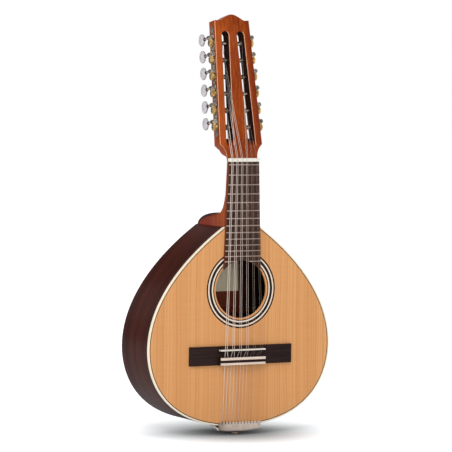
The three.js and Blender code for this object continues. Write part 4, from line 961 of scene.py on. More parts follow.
# Box between two places on each axis
def boxPoints(xs, ys, zs):
    points = np.array([(x, y, z) for x in xs for y in ys for z in zs], float)
    faces = [[0, 1, 3, 2], [4, 6, 7, 5], [0, 4, 5, 1], [2, 3, 7, 6], [0, 2, 6, 4], [1, 5, 7, 3]]
    return points, faces


# Machines, in the frame of the head's edge; heights are those of the rollers
machine = dict(perSide=6, first=46.0, pitch=24.2, depth=8.4, rollerRadius=3.0, rollerEdge=0.2, journal=2.2,
               bore=2.6, stripSocket=4.0, endGap=0.3, clearance=0.4, plateGap=0.15, plate=1.0, wormOut=4.35,
               wormUp=7.65, plateFoot=15.0, plateTop=23.0, plateHalf=5.0, scallop=1.3, plateBore=2.7,
               plateEnd=3.6, screwBelow=9.6, screwAbove=15.0)
gearSizes = dict(teeth=14, module=0.75, thickness=2.8, tip=0.5, root=1.35, height=1.25, chamfer=0.25,
                 hub=3.85)
wormSizes = dict(pitchRadius=2.3, tip=2.85, root=1.6, crest=0.45, base=1.25, start=-3.57, end=3.5,
                 runOut=0.22, pin=1.4, lug=1.1, lugGap=0.3, lugHalf=3.1, lugBore=1.62, collar=2.6,
                 collarLength=2.6, waist=1.7, ferrule=2.3)
screwSizes = dict(
    gear=dict(profile=((-0.4, 1.9), (0.35, 1.9), (0.65, 1.6), (0.8, 0.9)), slot=(0.45, 0.85),
              slotHalf=(0.25, 1.7), count=24),
    plate=dict(profile=((-0.6, 1.5), (0.1, 1.5), (0.45, 1.25), (0.7, 0.7), (0.76, 0.2)), slot=(0.5, 0.8),
               slotHalf=(1.05, 0.16), count=20),
)
buttonSizes = dict(start=25.4, length=15.4, halfHeight=9.1, halfThickness=3.5, neck=2.1, overlap=0.4,
                   full=2.4)


# Height of a roller up the head's edge: its height on the middle line over the cosine of the taper
def rollerHeight(index):
    return (machine["first"] + index * machine["pitch"]) / math.cos(headTaper())


# Bore for a roller: a round bar from outside the head's edge to the end of its socket
def rollerBore(row, index):
    n, m = neckSizes, machine
    reach = n["slotInset"] + n["slotWidth"] / 2 + m["stripSocket"]
    ring = roundLoop(m["bore"], 24, (m["depth"], rollerHeight(index)))
    points, faces = ringTube(acrossAt(ring, (-row * reach, row)))
    return solidObject("bore", onEdge(points, row), faces)


# Turned piece: (distance along, radius) stations swept round an axis through a centre
def lathe(stations, count, axis, centre):
    along, radius = np.array(stations, float).T
    angle = np.linspace(0, 2 * math.pi, count, endpoint=False)
    c, s = np.cos(angle)[None, :] * radius[:, None], np.sin(angle)[None, :] * radius[:, None]
    a = np.broadcast_to(along[:, None], c.shape)
    order = {"x": (a, c, s), "y": (c, a, s), "z": (c, s, a)}[axis]
    return np.stack(order, -1) + centre


# Several sets of points and faces as one
def merged(parts):
    points, faces, count = [], [], 0
    for partPoints, partFaces in parts:
        points.append(np.asarray(partPoints).reshape(-1, 3))
        faces += [[index + count for index in face] for face in partFaces]
        count += len(points[-1])
    return np.concatenate(points), faces


# Piece whose points are in the frame of one edge of the head
def addMachined(name, parts, row, material, slotName, body, stands=(), **finish):
    points, faces = merged(parts)
    addPiece(name, buildMesh(name, onEdge(points, row), faces), material, slotName, body, stands, **finish)


# Piece turned on an axis square to the head's edge: its stations are (distance out, radius)
def addTurned(name, stations, count, centre, row, material, slotName, body, stands=()):
    rings = lathe([(row * out, radius) for out, radius in stations], count, "x", centre)
    addMachined(name, [ringTube(rings)], row, material, slotName, body, stands)


# Screw on a face: turned stations above that face, and a thin dark box across them as its slot, painted shade
# standing for the slot's recess
def addScrew(kind, name, slotName, face, centre, row, materials, body):
    sizes = screwSizes[kind]
    _, depth, up = centre
    halfDepth, halfUp = sizes["slotHalf"]
    box = boxPoints(sorted(row * (face + out) for out in sizes["slot"]),
                    (depth - halfDepth, depth + halfDepth), (up - halfUp, up + halfUp))
    addTurned(name, [(face + out, radius) for out, radius in sizes["profile"]], sizes["count"], centre, row,
              materials["screw"], "worm_steel", body)
    addMachined(slotName, [box], row, materials["slot"], "worm_steel", body)


# Gear wheel: 14 slanting teeth with rounded tips, each a set of angles about its middle at set radii,
# and small chamfers on both faces
def gearRings(row, height):
    g, m = gearSizes, machine
    pitchRadius = g["module"] * g["teeth"] / 2
    slant = (math.pi * g["module"]) / (2 * math.pi * wormSizes["pitchRadius"]) / pitchRadius
    rootRadius, tipRadius = pitchRadius - g["height"] / 2, pitchRadius + g["height"] / 2
    rootHalf, tipHalf = g["root"] / 2 / rootRadius, g["tip"] / 2 / tipRadius
    halves = np.array([rootHalf, rootHalf * 0.62 + tipHalf * 0.38, tipHalf, tipHalf * 0.5])
    reaches = np.array([rootRadius, rootRadius + 0.5 * g["height"], tipRadius - 0.06, tipRadius])
    middles = math.pi / 2 + 2 * math.pi * (np.arange(g["teeth"]) + 0.5) / g["teeth"]
    angle = (middles[:, None] + np.concatenate([-halves, halves[::-1]])[None, :]).ravel()
    radius = np.tile(np.concatenate([reaches, reaches[::-1]]), g["teeth"])
    half, cut = g["thickness"] / 2, g["chamfer"]
    rings = []
    for along, shrink in ((-half, cut), (-half + cut, 0), (0, 0), (half - cut, 0), (half, cut)):
        turned, reach = angle + slant * along, np.minimum(radius, tipRadius - shrink)
        rings.append(np.column_stack([np.full(len(angle), along), reach * np.cos(turned),
                                      reach * np.sin(turned)]))
    return np.stack(rings) + (row * m["wormOut"], m["depth"], height)


# Roller: a shaft with a thick middle in the slot, and outside the head its gear, hub and screw
def makeRoller(side, row, index, materials):
    n, m, g = neckSizes, machine, gearSizes
    name = f"roller_{side}_{index + 1}"
    height = rollerHeight(index)
    centre = (0.0, m["depth"], height)
    slotOuter, slotInner = n["slotInset"] - n["slotWidth"] / 2, n["slotInset"] + n["slotWidth"] / 2
    near, far = -slotOuter - m["clearance"], -slotInner + m["clearance"]
    thick, thin, edge = m["rollerRadius"], m["journal"], m["rollerEdge"]
    shaft = [(m["wormOut"], thin), (near, thin), (near, thick - edge), (near - edge, thick),
             (far + edge, thick), (far, thick - edge), (far, thin),
             (-slotInner - m["stripSocket"] + m["endGap"], thin)]
    addTurned(f"{name}_shaft", shaft, 32, centre, row, materials["roller"], "worm_steel", name, (name,))
    gear = [ringTube(gearRings(row, height))]
    addMachined(f"{name}_gear", gear, row, materials["gear"], "gear_brass", name)
    face, half = m["plateGap"] + m["plate"], g["thickness"] / 2
    hub = [(face + 0.12, g["hub"] - 0.15), (face + 0.27, g["hub"]), (m["wormOut"] - half + 0.3, g["hub"])]
    addTurned(f"{name}_hub", hub, 32, centre, row, materials["gear"], "gear_brass", name)
    addScrew("gear", f"{name}_screw", f"{name}_screw_slot", m["wormOut"] + half, centre, row,
             materials, name)


# Worm's thread: a trapezoid section, carried along a helix that climbs one pitch each turn
def threadRings(centre):
    w = wormSizes
    pitch = math.pi * gearSizes["module"]
    turns = (w["end"] - w["start"] - w["base"]) / pitch
    u = np.linspace(0, turns, int(turns * 32) + 1)[:, None]
    flank = (w["base"] - w["crest"]) / 2
    foot, core = w["root"] - 0.05, w["root"] - 0.5
    lift = np.array([0.0, flank, flank + w["crest"], w["base"], w["base"], 0.0])[None, :]
    reach = np.array([foot, w["tip"], w["tip"], foot, core, core])[None, :]
    fade = np.clip(np.minimum(u, turns - u) / w["runOut"], 0.0, 1.0)
    radius = foot + (reach - foot) * np.where(reach > w["root"], fade, 1.0)
    along = w["start"] + pitch * u + lift
    phase = 2 * math.pi * (along[:, :1] + w["base"] / 2) / pitch   # the crest at mid length faces the gear
    angle = np.broadcast_to(phase, along.shape)
    return np.stack([-radius * np.sin(angle), along, -radius * np.cos(angle)], -1) + centre


# Worm's shaft as (distance along, radius) stations: pin, core, pin, collar, waist, ferrule, button's end
def shaftStations(neckAt):
    w = wormSizes
    lugReach = w["lug"] + 2 * w["lugGap"]
    tail, collar = w["start"] - lugReach, w["end"] + lugReach
    collarEnd = collar + w["collarLength"]
    return [(tail, w["pin"] - 0.2), (tail + 0.2, w["pin"]), (w["start"], w["pin"]), (w["start"], w["root"]),
            (w["end"], w["root"]), (w["end"], w["pin"]), (collar, w["pin"]), (collar, w["collar"] - 0.3),
            (collar + 0.3, w["collar"]), (collarEnd - 0.3, w["collar"]), (collarEnd, w["collar"] - 0.4),
            (collarEnd + 0.5, w["waist"]), (neckAt - 2.6, w["waist"]), (neckAt - 2.4, w["ferrule"]),
            (neckAt - 0.6, w["ferrule"]), (neckAt - 0.2, 2.0), (neckAt + 2.0, 1.6)]


# Button: superellipse rings whose size swells along its length as a power of a sine, flattened across
def knobRings(centre, start):
    b = buttonSizes
    t = np.linspace(0, 1, 26)
    swell = np.clip(np.sin(math.pi * np.clip(t * 0.985 + 0.012, 0, 1)), 0, 1) ** 0.52
    neck = np.where(t < 0.06, b["neck"], 0.0)
    halfHeight = np.maximum(b["halfHeight"] * swell, neck)
    halfThick = np.maximum(b["halfThickness"] * swell ** 1.1, neck)
    angle = np.linspace(0, 2 * math.pi, 48, endpoint=False)
    power = 2 / b["full"]
    c, s = np.cos(angle), np.sin(angle)
    x = halfThick[:, None] * (np.sign(c) * np.abs(c) ** power)[None, :]
    z = halfHeight[:, None] * (np.sign(s) * np.abs(s) ** power)[None, :]
    y = np.broadcast_to((start - b["overlap"] + t * (b["length"] + b["overlap"]))[:, None], x.shape)
    return np.stack([x, y, z], -1) + centre


# Worm with its shaft, and the button on the shaft's end
def makeButton(side, row, index, materials):
    m = machine
    name = f"button_{side}_{index + 1}"
    centre = (row * m["wormOut"], m["depth"], rollerHeight(index) + m["wormUp"])
    neckAt = buttonSizes["start"] - m["depth"]
    worm = [ringTube(threadRings(centre)), ringTube(lathe(shaftStations(neckAt), 32, "y", centre))]
    addMachined(f"{name}_worm", worm, row, materials["worm"], "worm_steel", name, (name,))
    addMachined(f"{name}_knob", [ringTube(knobRings(centre, neckAt))], row, materials["pearl"],
                "button_pearl", name, sharp=60.0)


# Side plate: a strip whose half width is a cosine that swells at each roller, with round ends and bores
def makePlate(side, row, materials):
    m = machine
    heights = [rollerHeight(i) for i in range(m["perSide"])]
    first, last = heights[0], heights[-1]
    up = np.linspace(first - m["plateFoot"], last + m["plateTop"], 260)
    phase = (up - first) / (last - first) * (m["perSide"] - 1)
    wave = m["plateHalf"] + m["scallop"] * np.cos(2 * math.pi * phase)
    beyond = np.minimum(np.abs(up - first), np.abs(up - last))
    end = m["plateHalf"] - 1.1 + 2.4 * np.exp(-(beyond / 4.5) ** 2)
    fromEnd = np.minimum(up - up[0], up[-1] - up)
    rounding = np.sqrt(np.clip(1 - (1 - np.clip(fromEnd / m["plateEnd"], 0, 1)) ** 2, 0.02, 1))
    wave = np.where((up < first) | (up > last), end, wave) * rounding
    outline = np.concatenate([np.column_stack([m["depth"] + wave, up]),
                              np.column_stack([m["depth"] - wave, up])[::-1]])
    rings = acrossAt(outline, (row * m["plateGap"], row * (m["plateGap"] + m["plate"])))
    plate = solidObject("plate", *ringTube(onEdge(rings, row)))
    bores = [roundLoop(m["plateBore"], 32, (m["depth"], height)) for height in heights]
    boolean(plate, [solidObject("plate_bore", *ringTube(onEdge(acrossAt(ring, (-row, 3.0 * row)), row)))
                    for ring in bores], "DIFFERENCE")
    addPiece(f"plate_{side}", takeMesh(plate), materials["plate"], "nickel",
             stands=(f"machine_plate_{side}",), bevel=0.2, segments=2)
    for index, height in enumerate(heights):
        for end in ("front", "rear"):
            lugRing(side, row, index, height + m["wormUp"], end, materials)
    screws = [first - m["screwBelow"]] + [height + m["screwAbove"] for height in heights]
    for number, up in enumerate(screws, 1):
        addScrew("plate", f"plate_screw_{side}_{number}", f"plate_screw_slot_{side}_{number}",
                 m["plateGap"] + m["plate"], (0.0, m["depth"], up), row, materials, "root")


# Lug: a washer-like arch round the worm's pin, half a circle outside and straight to the plate
def lugRing(side, row, index, height, end, materials):
    m, w = machine, wormSizes
    clear, half = w["lugGap"] + w["lug"] / 2, w["lugHalf"]
    depth = m["depth"] + (w["start"] - clear if end == "front" else w["end"] + clear)
    angle = np.linspace(-math.pi / 2, math.pi / 2, 21)
    foot = m["plateGap"] + 0.4
    outerX = np.concatenate([[foot], m["wormOut"] + half * np.cos(angle), [foot]])
    outerZ = np.concatenate([[-half], half * np.sin(angle), [half]])
    angle = np.linspace(-math.pi * 0.98, math.pi * 0.98, len(outerX))
    innerX, innerZ = m["wormOut"] + w["lugBore"] * np.cos(angle), w["lugBore"] * np.sin(angle)
    rings = [np.column_stack([row * x, np.full(len(x), depth + y), height + z]) for x, z, y in (
        (outerX, outerZ, -w["lug"] / 2), (outerX, outerZ, w["lug"] / 2),
        (innerX, innerZ, w["lug"] / 2), (innerX, innerZ, -w["lug"] / 2))]
    addMachined(f"lug_{side}_{index + 1}_{end}",
                [(np.concatenate(rings), gridQuads(4, len(outerX), True, True))], row,
                materials["lug"], "nickel", "root", bevel=0.12)


# Both rows of machines: a plate each, and six rollers and six buttons
def makeMachines():
    brass, steel, nickel = makeMetal("gear_brass"), makeMetal("worm_steel"), makeMetal("nickel")
    materials = dict(gear=brass, roller=steel, worm=steel, screw=nickel, plate=nickel, lug=nickel,
                     slot=makeMetal("worm_steel", screwSlotShade), pearl=makePlain("button_pearl"))
    for side, row in sides:
        makePlate(side, row, materials)
        for index in range(machine["perSide"]):
            makeRoller(side, row, index, materials)
            makeButton(side, row, index, materials)


# Fingerboard: tapered plan with a concave end, and fret bars with rounded crowns and sloped ends
fretting = dict(count=13, thickness=4.2, height=0.9, half=0.8, endRadius=41.4, inset=0.15, endGap=0.6)


# Each fret lies beyond the zero fret by the scale times (1 less 2 to minus a twelfth of its number)
def makeFingerboard():
    f, n = fretting, neckSizes
    top, radius = -n["nutThickness"], f["endRadius"]
    tip = 28.0
    for _ in range(6):   # where the tapered edge meets the concave end
        tip = boardHalf(hole["z"] + math.sqrt(radius ** 2 - tip ** 2))
    angle = np.linspace(-math.asin(tip / radius), math.asin(tip / radius), 41)
    arc = np.column_stack([radius * np.sin(angle), hole["z"] + radius * np.cos(angle)])
    plan = np.concatenate([[[boardHalf(top), top], [-boardHalf(top), top]], arc])
    addLoops("fingerboard_fine", [plan, plan], [-f["thickness"], 0.0], makeDarkWood("dark_fingerboard"),
             "dark_fingerboard", closed=False, stands=("fingerboard",), bevel=0.35, segments=2)
    metal = makeMetal("fret_metal")
    for number in range(f["count"] + 1):
        z = n["zeroFret"] - n["scale"] * (1 - 2 ** (-number / 12))
        half = boardHalf(z) - f["inset"]
        spans = [(-half, half)]
        inside = radius ** 2 - (z - hole["z"]) ** 2
        if inside > 0:   # the concave end parts this fret in two
            cut = math.sqrt(inside) + f["endGap"]
            spans = [(-half, -cut), (cut, half)]
        for part, (left, right) in enumerate(spans):
            fretBar(f"fret_{number}" + ("" if len(spans) == 1 else "ab"[part]), left, right, z, metal)


# Fret: half ellipse carried across the board, shrinking over the last 0.7 mm at each end
def fretBar(name, left, right, z, metal):
    f = fretting
    x = np.array([left, left + 0.25, left + 0.7, right - 0.7, right - 0.25, right])
    rise = np.array([0.25, 0.75, 1.0, 1.0, 0.75, 0.25])
    angle = np.linspace(0, math.pi, 13)
    y = -f["thickness"] + 0.1 - (f["height"] + 0.1) * np.sin(angle)[None, :] * rise[:, None]
    across = f["half"] * np.cos(angle)[None, :] * (0.6 + 0.4 * rise[:, None])
    rings = np.stack([np.broadcast_to(x[:, None], y.shape), y, z + across], -1)
    addPiece(name, buildMesh(name, *ringTube(rings)), metal, "fret_metal", sharp=50.0)


# Strings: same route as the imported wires, with round turns on the rollers
stringSet = dict(radii=(0.45, 0.355, 0.28, 0.205, 0.15, 0.115), perCourse=2, wound=4, atNut=7.95,
                 atSaddle=11.5, pairAtNut=2.2, pairAtSaddle=2.9, atTail=5.1, lift=0.12, turns=2, gap=0.5,
                 landing=(0.13, 0.075, -0.1, -0.03, 0.18, 0.335), wireSides=12)
bridgeSizes = dict(saddleZ=-272.3, saddleTop=11.2, crown=1.0, tieFront=-282.7, tieBack=-293.6, hole=6.2)
tailSizes = dict(lipTop=-375.8, lipGap=1.4, sheet=1.0, notch=3.0, half=34.0, drop=7.4, rise=5.8,
                 foldRadius=1.6, foldReach=22.0, footReach=38.0, footGap=0.3, notchWidth=1.5)


# Place across of one string: its course's place, and half the pair's gap to one side
def stringX(course, member, courseGap, pairGap):
    return (course - (len(stringSet["radii"]) - 1) / 2) * courseGap + (member - 0.5) * pairGap


# Route of a string: a helix of turns on its roller, then straight runs over the nut, the first fret
# and the saddle, through the bridge and down to its notch in the tailpiece
def stringRoute(course, member, index):
    t, n, m, b, e = stringSet, neckSizes, machine, bridgeSizes, tailSizes
    courses = len(t["radii"])
    radius = t["radii"][course]
    row = -1 if course < courses / 2 else 1
    fromOutside = course * 2 + member if row < 0 else (courses - 1 - course) * 2 + 1 - member
    wrap = m["rollerRadius"] + radius + t["lift"]
    step = 2 * radius + t["gap"]
    landing = -row * n["slotInset"] + row * t["landing"][fromOutside] * n["slotWidth"]
    share = np.linspace(1, 0, t["turns"] * 40 + 1)
    angle = 2 * math.pi * t["turns"] * share
    winding = np.column_stack([landing - row * step * t["turns"] * share, m["depth"] - wrap * np.cos(angle),
                               rollerHeight(fromOutside) + wrap * np.sin(angle)])
    nutX = stringX(course, member, t["atNut"], t["pairAtNut"])
    saddleX = stringX(course, member, t["atSaddle"], t["pairAtSaddle"])
    tailX = (index - (courses * t["perCourse"] - 1) / 2) * t["atTail"]
    fretTop = -(fretting["thickness"] + fretting["height"] + t["lift"] + radius)
    nutFloor = -(nutSizes["floor"] + t["lift"] + radius)
    saddleTop = -(b["saddleTop"] + t["lift"] + radius)
    notchZ = e["lipTop"] - e["notch"]
    rest = np.array([
        (nutX, nutFloor, 0.12), (nutX, nutFloor, -n["nutThickness"]), (nutX, fretTop, n["zeroFret"]),
        (saddleX, saddleTop, b["saddleZ"] + b["crown"] / 2),
        (saddleX, saddleTop, b["saddleZ"] - b["crown"] / 2),
        (tailX, -b["hole"], b["tieFront"] + 0.47), (tailX, -b["hole"], b["tieBack"] - 0.47),
        (tailX, -e["lipGap"] - e["sheet"] / 2, notchZ + e["notch"] / 2 + radius),
        (tailX, -e["lipGap"] / 2 - t["lift"], notchZ + radius + t["lift"])])
    return np.concatenate([onEdge(winding, row), rest]), radius


# Tube: a ring of points square to the path at each of its points, carried along without twisting
def sweep(path, radius, count):
    ahead = np.concatenate([path[1:], path[-1:]])
    behind = np.concatenate([path[:1], path[:-1]])
    along = ahead - behind
    along /= np.linalg.norm(along, axis=1)[:, None]
    across = np.zeros_like(along)
    side = np.array([1.0, 0.0, 0.0])
    for i, direction in enumerate(along):
        side = side - direction * side.dot(direction)
        side /= np.linalg.norm(side)
        across[i] = side
    up = np.cross(along, across)
    angle = np.linspace(0, 2 * math.pi, count, endpoint=False)
    return (path[:, None, :] + radius * (np.cos(angle)[None, :, None] * across[:, None, :]
            + np.sin(angle)[None, :, None] * up[:, None, :]))


# Twelve wires, each with the length from its start kept as an attribute for the winding's ridges
def makeStrings():
    t = stringSet
    wound, plain = (makeWound(), "string_wound"), (makeMetal("string_plain"), "string_plain")
    pairs = [(course, member) for course in range(len(t["radii"])) for member in range(t["perCourse"])]
    for index, (course, member) in enumerate(pairs):
        path, radius = stringRoute(course, member, index)
        length = np.concatenate([[0.0], np.cumsum(np.linalg.norm(np.diff(path, axis=0), axis=1))])
        name = f"string_{index + 1}"
        mesh = buildMesh(name + "_wire", *ringTube(sweep(path, radius, t["wireSides"])),
                         along=np.repeat(length, t["wireSides"]))
        addPiece(name + "_wire", mesh, *(wound if course < t["wound"] else plain), stands=(name,), sharp=60.0)


# How far the tail's curve has risen at a distance from the middle
def tailRise(x):
    low = halfOutline(0.0)[:shape["steps"]]
    return np.interp(np.abs(x), low[:, 0], low[:, 1]) - shape["tailZ"]


# Tailpiece: a bent sheet, one profile carried across, whose fold follows the tail's curve, with an
# open notch for each string
def makeTailpiece(nickel):
    e, tailZ = tailSizes, shape["tailZ"]
    count = len(stringSet["radii"]) * stringSet["perCourse"]
    notches = (np.arange(count) - (count - 1) / 2) * stringSet["atTail"]
    w = e["notchWidth"] / 2
    edges = np.sort(np.concatenate([[-e["half"], e["half"]], notches - w, notches + w,
                                    (notches[1:] + notches[:-1]) / 2, [-e["half"] + 2.0, e["half"] - 2.0]]))
    rise = tailRise(edges)
    wall = -e["lipGap"] - e["sheet"] / 2
    fold = tailZ - e["drop"] + e["sheet"] / 2
    radius = e["foldRadius"]
    profile = [(wall, e["lipTop"], 0.0), (wall, e["lipTop"] - e["notch"], 0.0),
               (wall, tailZ - 0.5, 0.3), (wall, fold + radius + 1.4, 0.9)]
    profile += [(wall + radius * (1 - math.cos(a)), fold + radius * (1 - math.sin(a)), 1.0)
                for a in np.linspace(0, 1, 9) * (math.pi / 2)]
    lastY, lastZ = e["foldReach"], tailZ - e["drop"] + e["rise"] - e["footGap"] + e["sheet"] / 2
    profile += [(wall + radius + (lastY - wall - radius) * k, fold + (lastZ - fold) * k, 1.0)
                for k in (0.25, 0.5, 0.75, 1.0)]
    profile += [(e["footReach"], tailZ - e["footGap"] - e["sheet"] / 2, 1.0)]
    y, z, follow = np.array(profile).T
    across, depth = np.broadcast_arrays(edges[:, None], y[None, :])
    grid = np.stack([across, depth, z[None, :] + rise[:, None] * follow[None, :]], -1)
    quads = np.array(gridQuads(*grid.shape[:2]))
    column, row = quads[:, 0] // len(y), quads[:, 0] % len(y)
    middle = (edges[column] + edges[column + 1]) / 2
    isNotch = (row == 0) & (np.abs(middle[:, None] - notches[None, :]).min(1) < w)
    mesh = buildMesh("tailpiece_fine", grid.reshape(-1, 3), quads[~isNotch].tolist())
    piece = addPiece("tailpiece_fine", mesh, nickel, "nickel", stands=("tailpiece",), sharp=50.0)
    thick = piece.modifiers.new("sheet", "SOLIDIFY")
    thick.thickness = e["sheet"] * mm
    thick.offset = 0.0
    edge = piece.modifiers.new("edge", "BEVEL")
    edge.width = 0.12 * mm
    edge.segments = 2
    edge.limit_method = "ANGLE"
    edge.angle_limit = math.radians(50.0)
    for side, sign in sides:
        makeTailFlange(side, sign, nickel)


# Flange: each end of the tailpiece's foot, turned up into the wedge under the body
tailFlange = dict(start=-1.2, end=16.5, height=2.8, thick=0.9, inset=0.1, clear=0.35, sunk=0.15)


# Four corner lines along the depth: the foot's slope, and that plus the height or just under the body
def makeTailFlange(side, sign, nickel):
    e, f = tailSizes, tailFlange
    y = np.linspace(f["start"], f["end"], 12)
    slope = (e["rise"] - e["footGap"]) / e["foldReach"]
    foot = shape["tailZ"] - e["drop"] + e["sheet"] - f["sunk"] + slope * y
    top = np.minimum(foot + f["height"], shape["tailZ"] - f["clear"])
    outer = e["half"] - f["inset"]
    inner = outer - f["thick"]
    section = ((inner, foot), (outer, foot), (outer, top), (inner, top))
    rings = np.stack([np.column_stack([np.full(len(y), x * sign), y, z + tailRise(inner)])
                      for x, z in section], 1)
    name = f"tail_flange_{side}"
    addPiece(name, buildMesh(name, *ringTube(rings)), nickel, "nickel", bevel=0.15, segments=2)


# End pin: shank, waist and rounded head as (height above the tip, radius), turned round one axis
endPin = dict(tip=-394.88, depth=12.0, shank=2.2, shankTop=-373.1,
              profile=((0.0, 0.6), (0.15, 2.4), (0.6, 3.7), (1.4, 4.5), (2.4, 4.75), (3.4, 4.6), (4.4, 4.0),
                       (5.4, 3.35), (6.6, 3.1), (7.4, 3.2), (7.4, 2.2)))


# Its stations swept round the vertical axis
def makeEndPin():
    p = endPin
    stations = [(p["tip"] + up, radius) for up, radius in p["profile"]] + [(p["shankTop"], p["shank"])]
    mesh = buildMesh("end_pin_fine", *ringTube(lathe(stations, 48, "z", (0.0, p["depth"], 0.0))))
    addPiece("end_pin_fine", mesh, makeDarkWood("end_pin_dark"), "end_pin_dark", stands=("end_pin",),
             sharp=40.0)


# Nut: a rounded block whose notches are just wider than their strings and round at the bottom
nutSizes = dict(crest=6.2, floor=4.5, round=0.6, notchGap=0.06)


# Its outline seen from the head, with a half circle at the foot of each notch, carried up to the nut's end
def makeNut(bone):
    u, n, t = nutSizes, neckSizes, stringSet
    half, crest = n["nutHalf"], -u["crest"]
    corner = [(-half, 0.0)]
    corner += [(-half + u["round"] * (1 - math.cos(a)), crest + u["round"] * (1 - math.sin(a)))
               for a in np.linspace(0, math.pi / 2, 6)]
    outline = list(corner)
    for course, radius in enumerate(t["radii"]):
        for member in range(t["perCourse"]):
            x, wide = stringX(course, member, t["atNut"], t["pairAtNut"]), radius + u["notchGap"]
            foot = -u["floor"] - wide
            outline += [(x - wide, crest)]
            outline += [(x + wide * math.cos(a), foot + wide * math.sin(a))
                        for a in np.linspace(math.pi, 0, 9)]
            outline += [(x + wide, crest)]
    outline = np.array(outline + [(-x, y) for x, y in corner[::-1]])
    rings = np.stack([np.column_stack([outline, np.full(len(outline), z)])
                      for z in (-n["nutThickness"], 0.0)])
    addPiece("nut_fine", buildMesh("nut_fine", *ringTube(rings)), bone, "bone", stands=("nut",), bevel=0.22,
             segments=2)


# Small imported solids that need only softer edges, or only a material
softEdges = dict(bridge=("bridge", "dark_bridge", 0.45), saddle=("bone", "bone", 0.45),
                 tie_strip_front=("aged_bone", "bone", 0.35), tie_strip_rear=("aged_bone", "bone", 0.35),
                 top_bar_upper=("spruce", "spruce", 0.8), top_bar_lower=("spruce", "spruce", 0.8),
                 back_bar=("inside", "mahogany", 0.8))
keptSolids = dict(lining_bass="spruce", lining_treble="spruce", label="label_paper", tail_block="inside")


# The nut, then each softened copy, then the materials of the nodes that are kept as packed
def makeSmallParts():
    materials = {name: makePlain(name) for name in ("bone", "aged_bone", "spruce", "label_paper")}
    materials.update(bridge=makeDarkWood("dark_bridge", True), inside=makeMahogany("inside_mahogany"))
    makeNut(materials["bone"])
    for node, (material, slotName, bevel) in softEdges.items():
        softened(node, materials[material], slotName, bevel)
    for node, material in keptSolids.items():
        nodes[node].data.materials.clear()
        nodes[node].data.materials.append(materials[material])


makeSoundbox()
print("soundbox made")
makeNeck()
print("neck made")
makeFingerboard()
makeSmallParts()
print("fingerboard, nut and bridge made")
makeMachines()
print("machines made")
makeTailpiece(makeMetal("nickel_sheet"))
makeEndPin()
makeStrings()
print("tailpiece, end pin and strings made")


# Floor, light and camera; the lamps' places, aims and sizes are in metres
view = dict(eye=(-1998.2, -3562.6, 140.8), yaw=28.97, pitch=3.33, roll=0.84, lens=229.46,
            floor=-395.0, floorHalf=6000.0, floorTone=(0.92, 0.95, 0.97), shadeTone=(0.2, 0.21, 0.215),
            seenWorld=1.0, mirrored=0.3, soft=0.62, glow=0.6, shadeAt=(7.0, 31.0), shadeSize=(215.0, 215.0))
lamps = dict(key=dict(place=(-1.9, -2.0, 1.9), target=(0, 0, -0.15), size=1.2, power=30.0),
             fill=dict(place=(-0.3, -3.2, 0.3), target=(0, 0, -0.15), size=0.9, power=16.0),
             strip=dict(place=(-2.6, -0.5, 0.1), target=(0, 0, -0.05), size=0.4, power=14.0, tall=2.4))


# Camera turned by its yaw, then its pitch, then its roll; it looks along -Z, so that is minus forward
def makeCamera():
    yaw, pitch, roll = (math.radians(view[key]) for key in ("yaw", "pitch", "roll"))
    turnZ = Matrix(((math.cos(yaw), -math.sin(yaw), 0), (math.sin(yaw), math.cos(yaw), 0), (0, 0, 1)))
    turnX = Matrix(((1, 0, 0), (0, math.cos(pitch), -math.sin(pitch)), (0, math.sin(pitch), math.cos(pitch))))
    turnY = Matrix(((math.cos(roll), 0, math.sin(roll)), (0, 1, 0), (-math.sin(roll), 0, math.cos(roll))))
    right, forward, up = turnY @ turnX @ turnZ
    data = bpy.data.cameras.new("camera")
    data.lens, data.sensor_width, data.clip_end = view["lens"], 36.0, 100.0
    camera = bpy.data.objects.new("camera", data)
    pose = Matrix((right, up, -forward)).transposed().to_4x4()
    pose.translation = Vector(view["eye"]) * mm
    camera.matrix_world = pose
    scene.collection.objects.link(camera)
    scene.camera = camera


# Area lamp turned so that it faces its target: a disc, or a rectangle where it is tall
def aimedLamp(name, place, target, size, power, tall=None):
    data = bpy.data.lights.new(name, "AREA")
    data.shape, data.size, data.energy = ("DISK" if tall is None else "RECTANGLE"), size, power
    if tall is not None:
        data.size_y = tall
    lamp = bpy.data.objects.new(name, data)
    lamp.location = place
    lamp.rotation_euler = (Vector(target) - Vector(place)).to_track_quat("-Z", "Y").to_euler()
    scene.collection.objects.link(lamp)


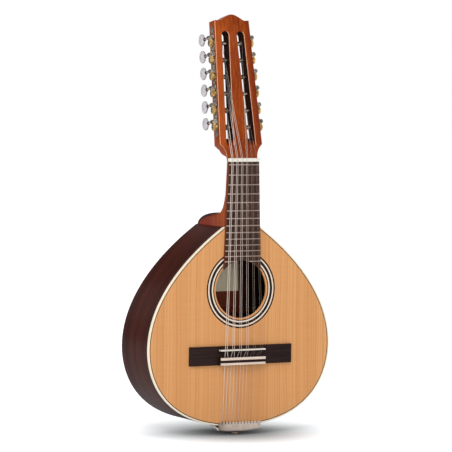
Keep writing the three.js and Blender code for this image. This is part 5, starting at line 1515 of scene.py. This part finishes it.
# White to the camera, dimmer as a lamp, and in reflections a soft wave of pale and dark panels
def makeWorld():
    world = bpy.data.worlds.new("studio")
    scene.world = world
    world.use_nodes = True
    s = Shader("studio", world.node_tree)
    toCamera = s.node("ShaderNodeLightPath", {}, out=0)
    glossy = s.node("ShaderNodeLightPath", {}, out=3)
    x, _, z = s.axes(s.node("ShaderNodeTexCoord", {}, out=0))
    dim, bright = view["mirrored"] * 0.4, view["mirrored"] * 2.6
    panels = s.span((x * -9.0 - z * 5.0).maths("SINE"), -0.2, 0.5, dim, bright)
    strength = toCamera * (view["seenWorld"] - view["soft"]) + glossy * (panels - view["soft"]) + view["soft"]
    background = world.node_tree.nodes["Background"]
    background.inputs[0].default_value = (1, 1, 1, 1)
    s.plug(background.inputs[1], strength)


# Pale floor that glows white to the camera, except in a soft round patch behind the body, where a painted
# shadow darkens the floor's own colour and the glow fades
def makeStage():
    s = Shader("pale_floor")
    x, y, _ = s.axes(s.place())
    yaw = math.radians(view["yaw"])
    x, y = x - view["shadeAt"][0], y - view["shadeAt"][1]
    across, away = x * math.cos(yaw) - y * math.sin(yaw), x * math.sin(yaw) + y * math.cos(yaw)
    across, away = across / view["shadeSize"][0], away / view["shadeSize"][1]
    under = s.fade((across * across + away * away) ** 0.5, 1.0, 0.0)
    under = (under * under * (3.0 - under * 2.0)) ** 1.35
    toCamera, glossy = s.node("ShaderNodeLightPath", {}, out=0), s.node("ShaderNodeLightPath", {}, out=3)
    base = s.mix(under, view["floorTone"], view["shadeTone"])
    glow = s.mix((toCamera + glossy * view["mirrored"]) * (1.0 - under), (0.0, 0.0, 0.0), (1.0, 1.0, 1.0))
    material = s.finish(base, 0.9, Emission_Color=glow, Emission_Strength=view["glow"],
                        Specular_IOR_Level=0.0)
    far = view["floorHalf"]
    corners = [(x, y, view["floor"]) for x, y in ((-far, -far), (far, -far), (far, far), (-far, far))]
    mesh = buildMesh("floor", corners, [[0, 1, 2, 3]])
    mesh.materials.append(material)
    floor = bpy.data.objects.new("floor", mesh)
    scene.collection.objects.link(floor)
    makeWorld()
    for name, lamp in lamps.items():
        aimedLamp(name, **lamp)


makeCamera()
makeStage()
scene.view_settings.view_transform = "Standard"
print("stage made")
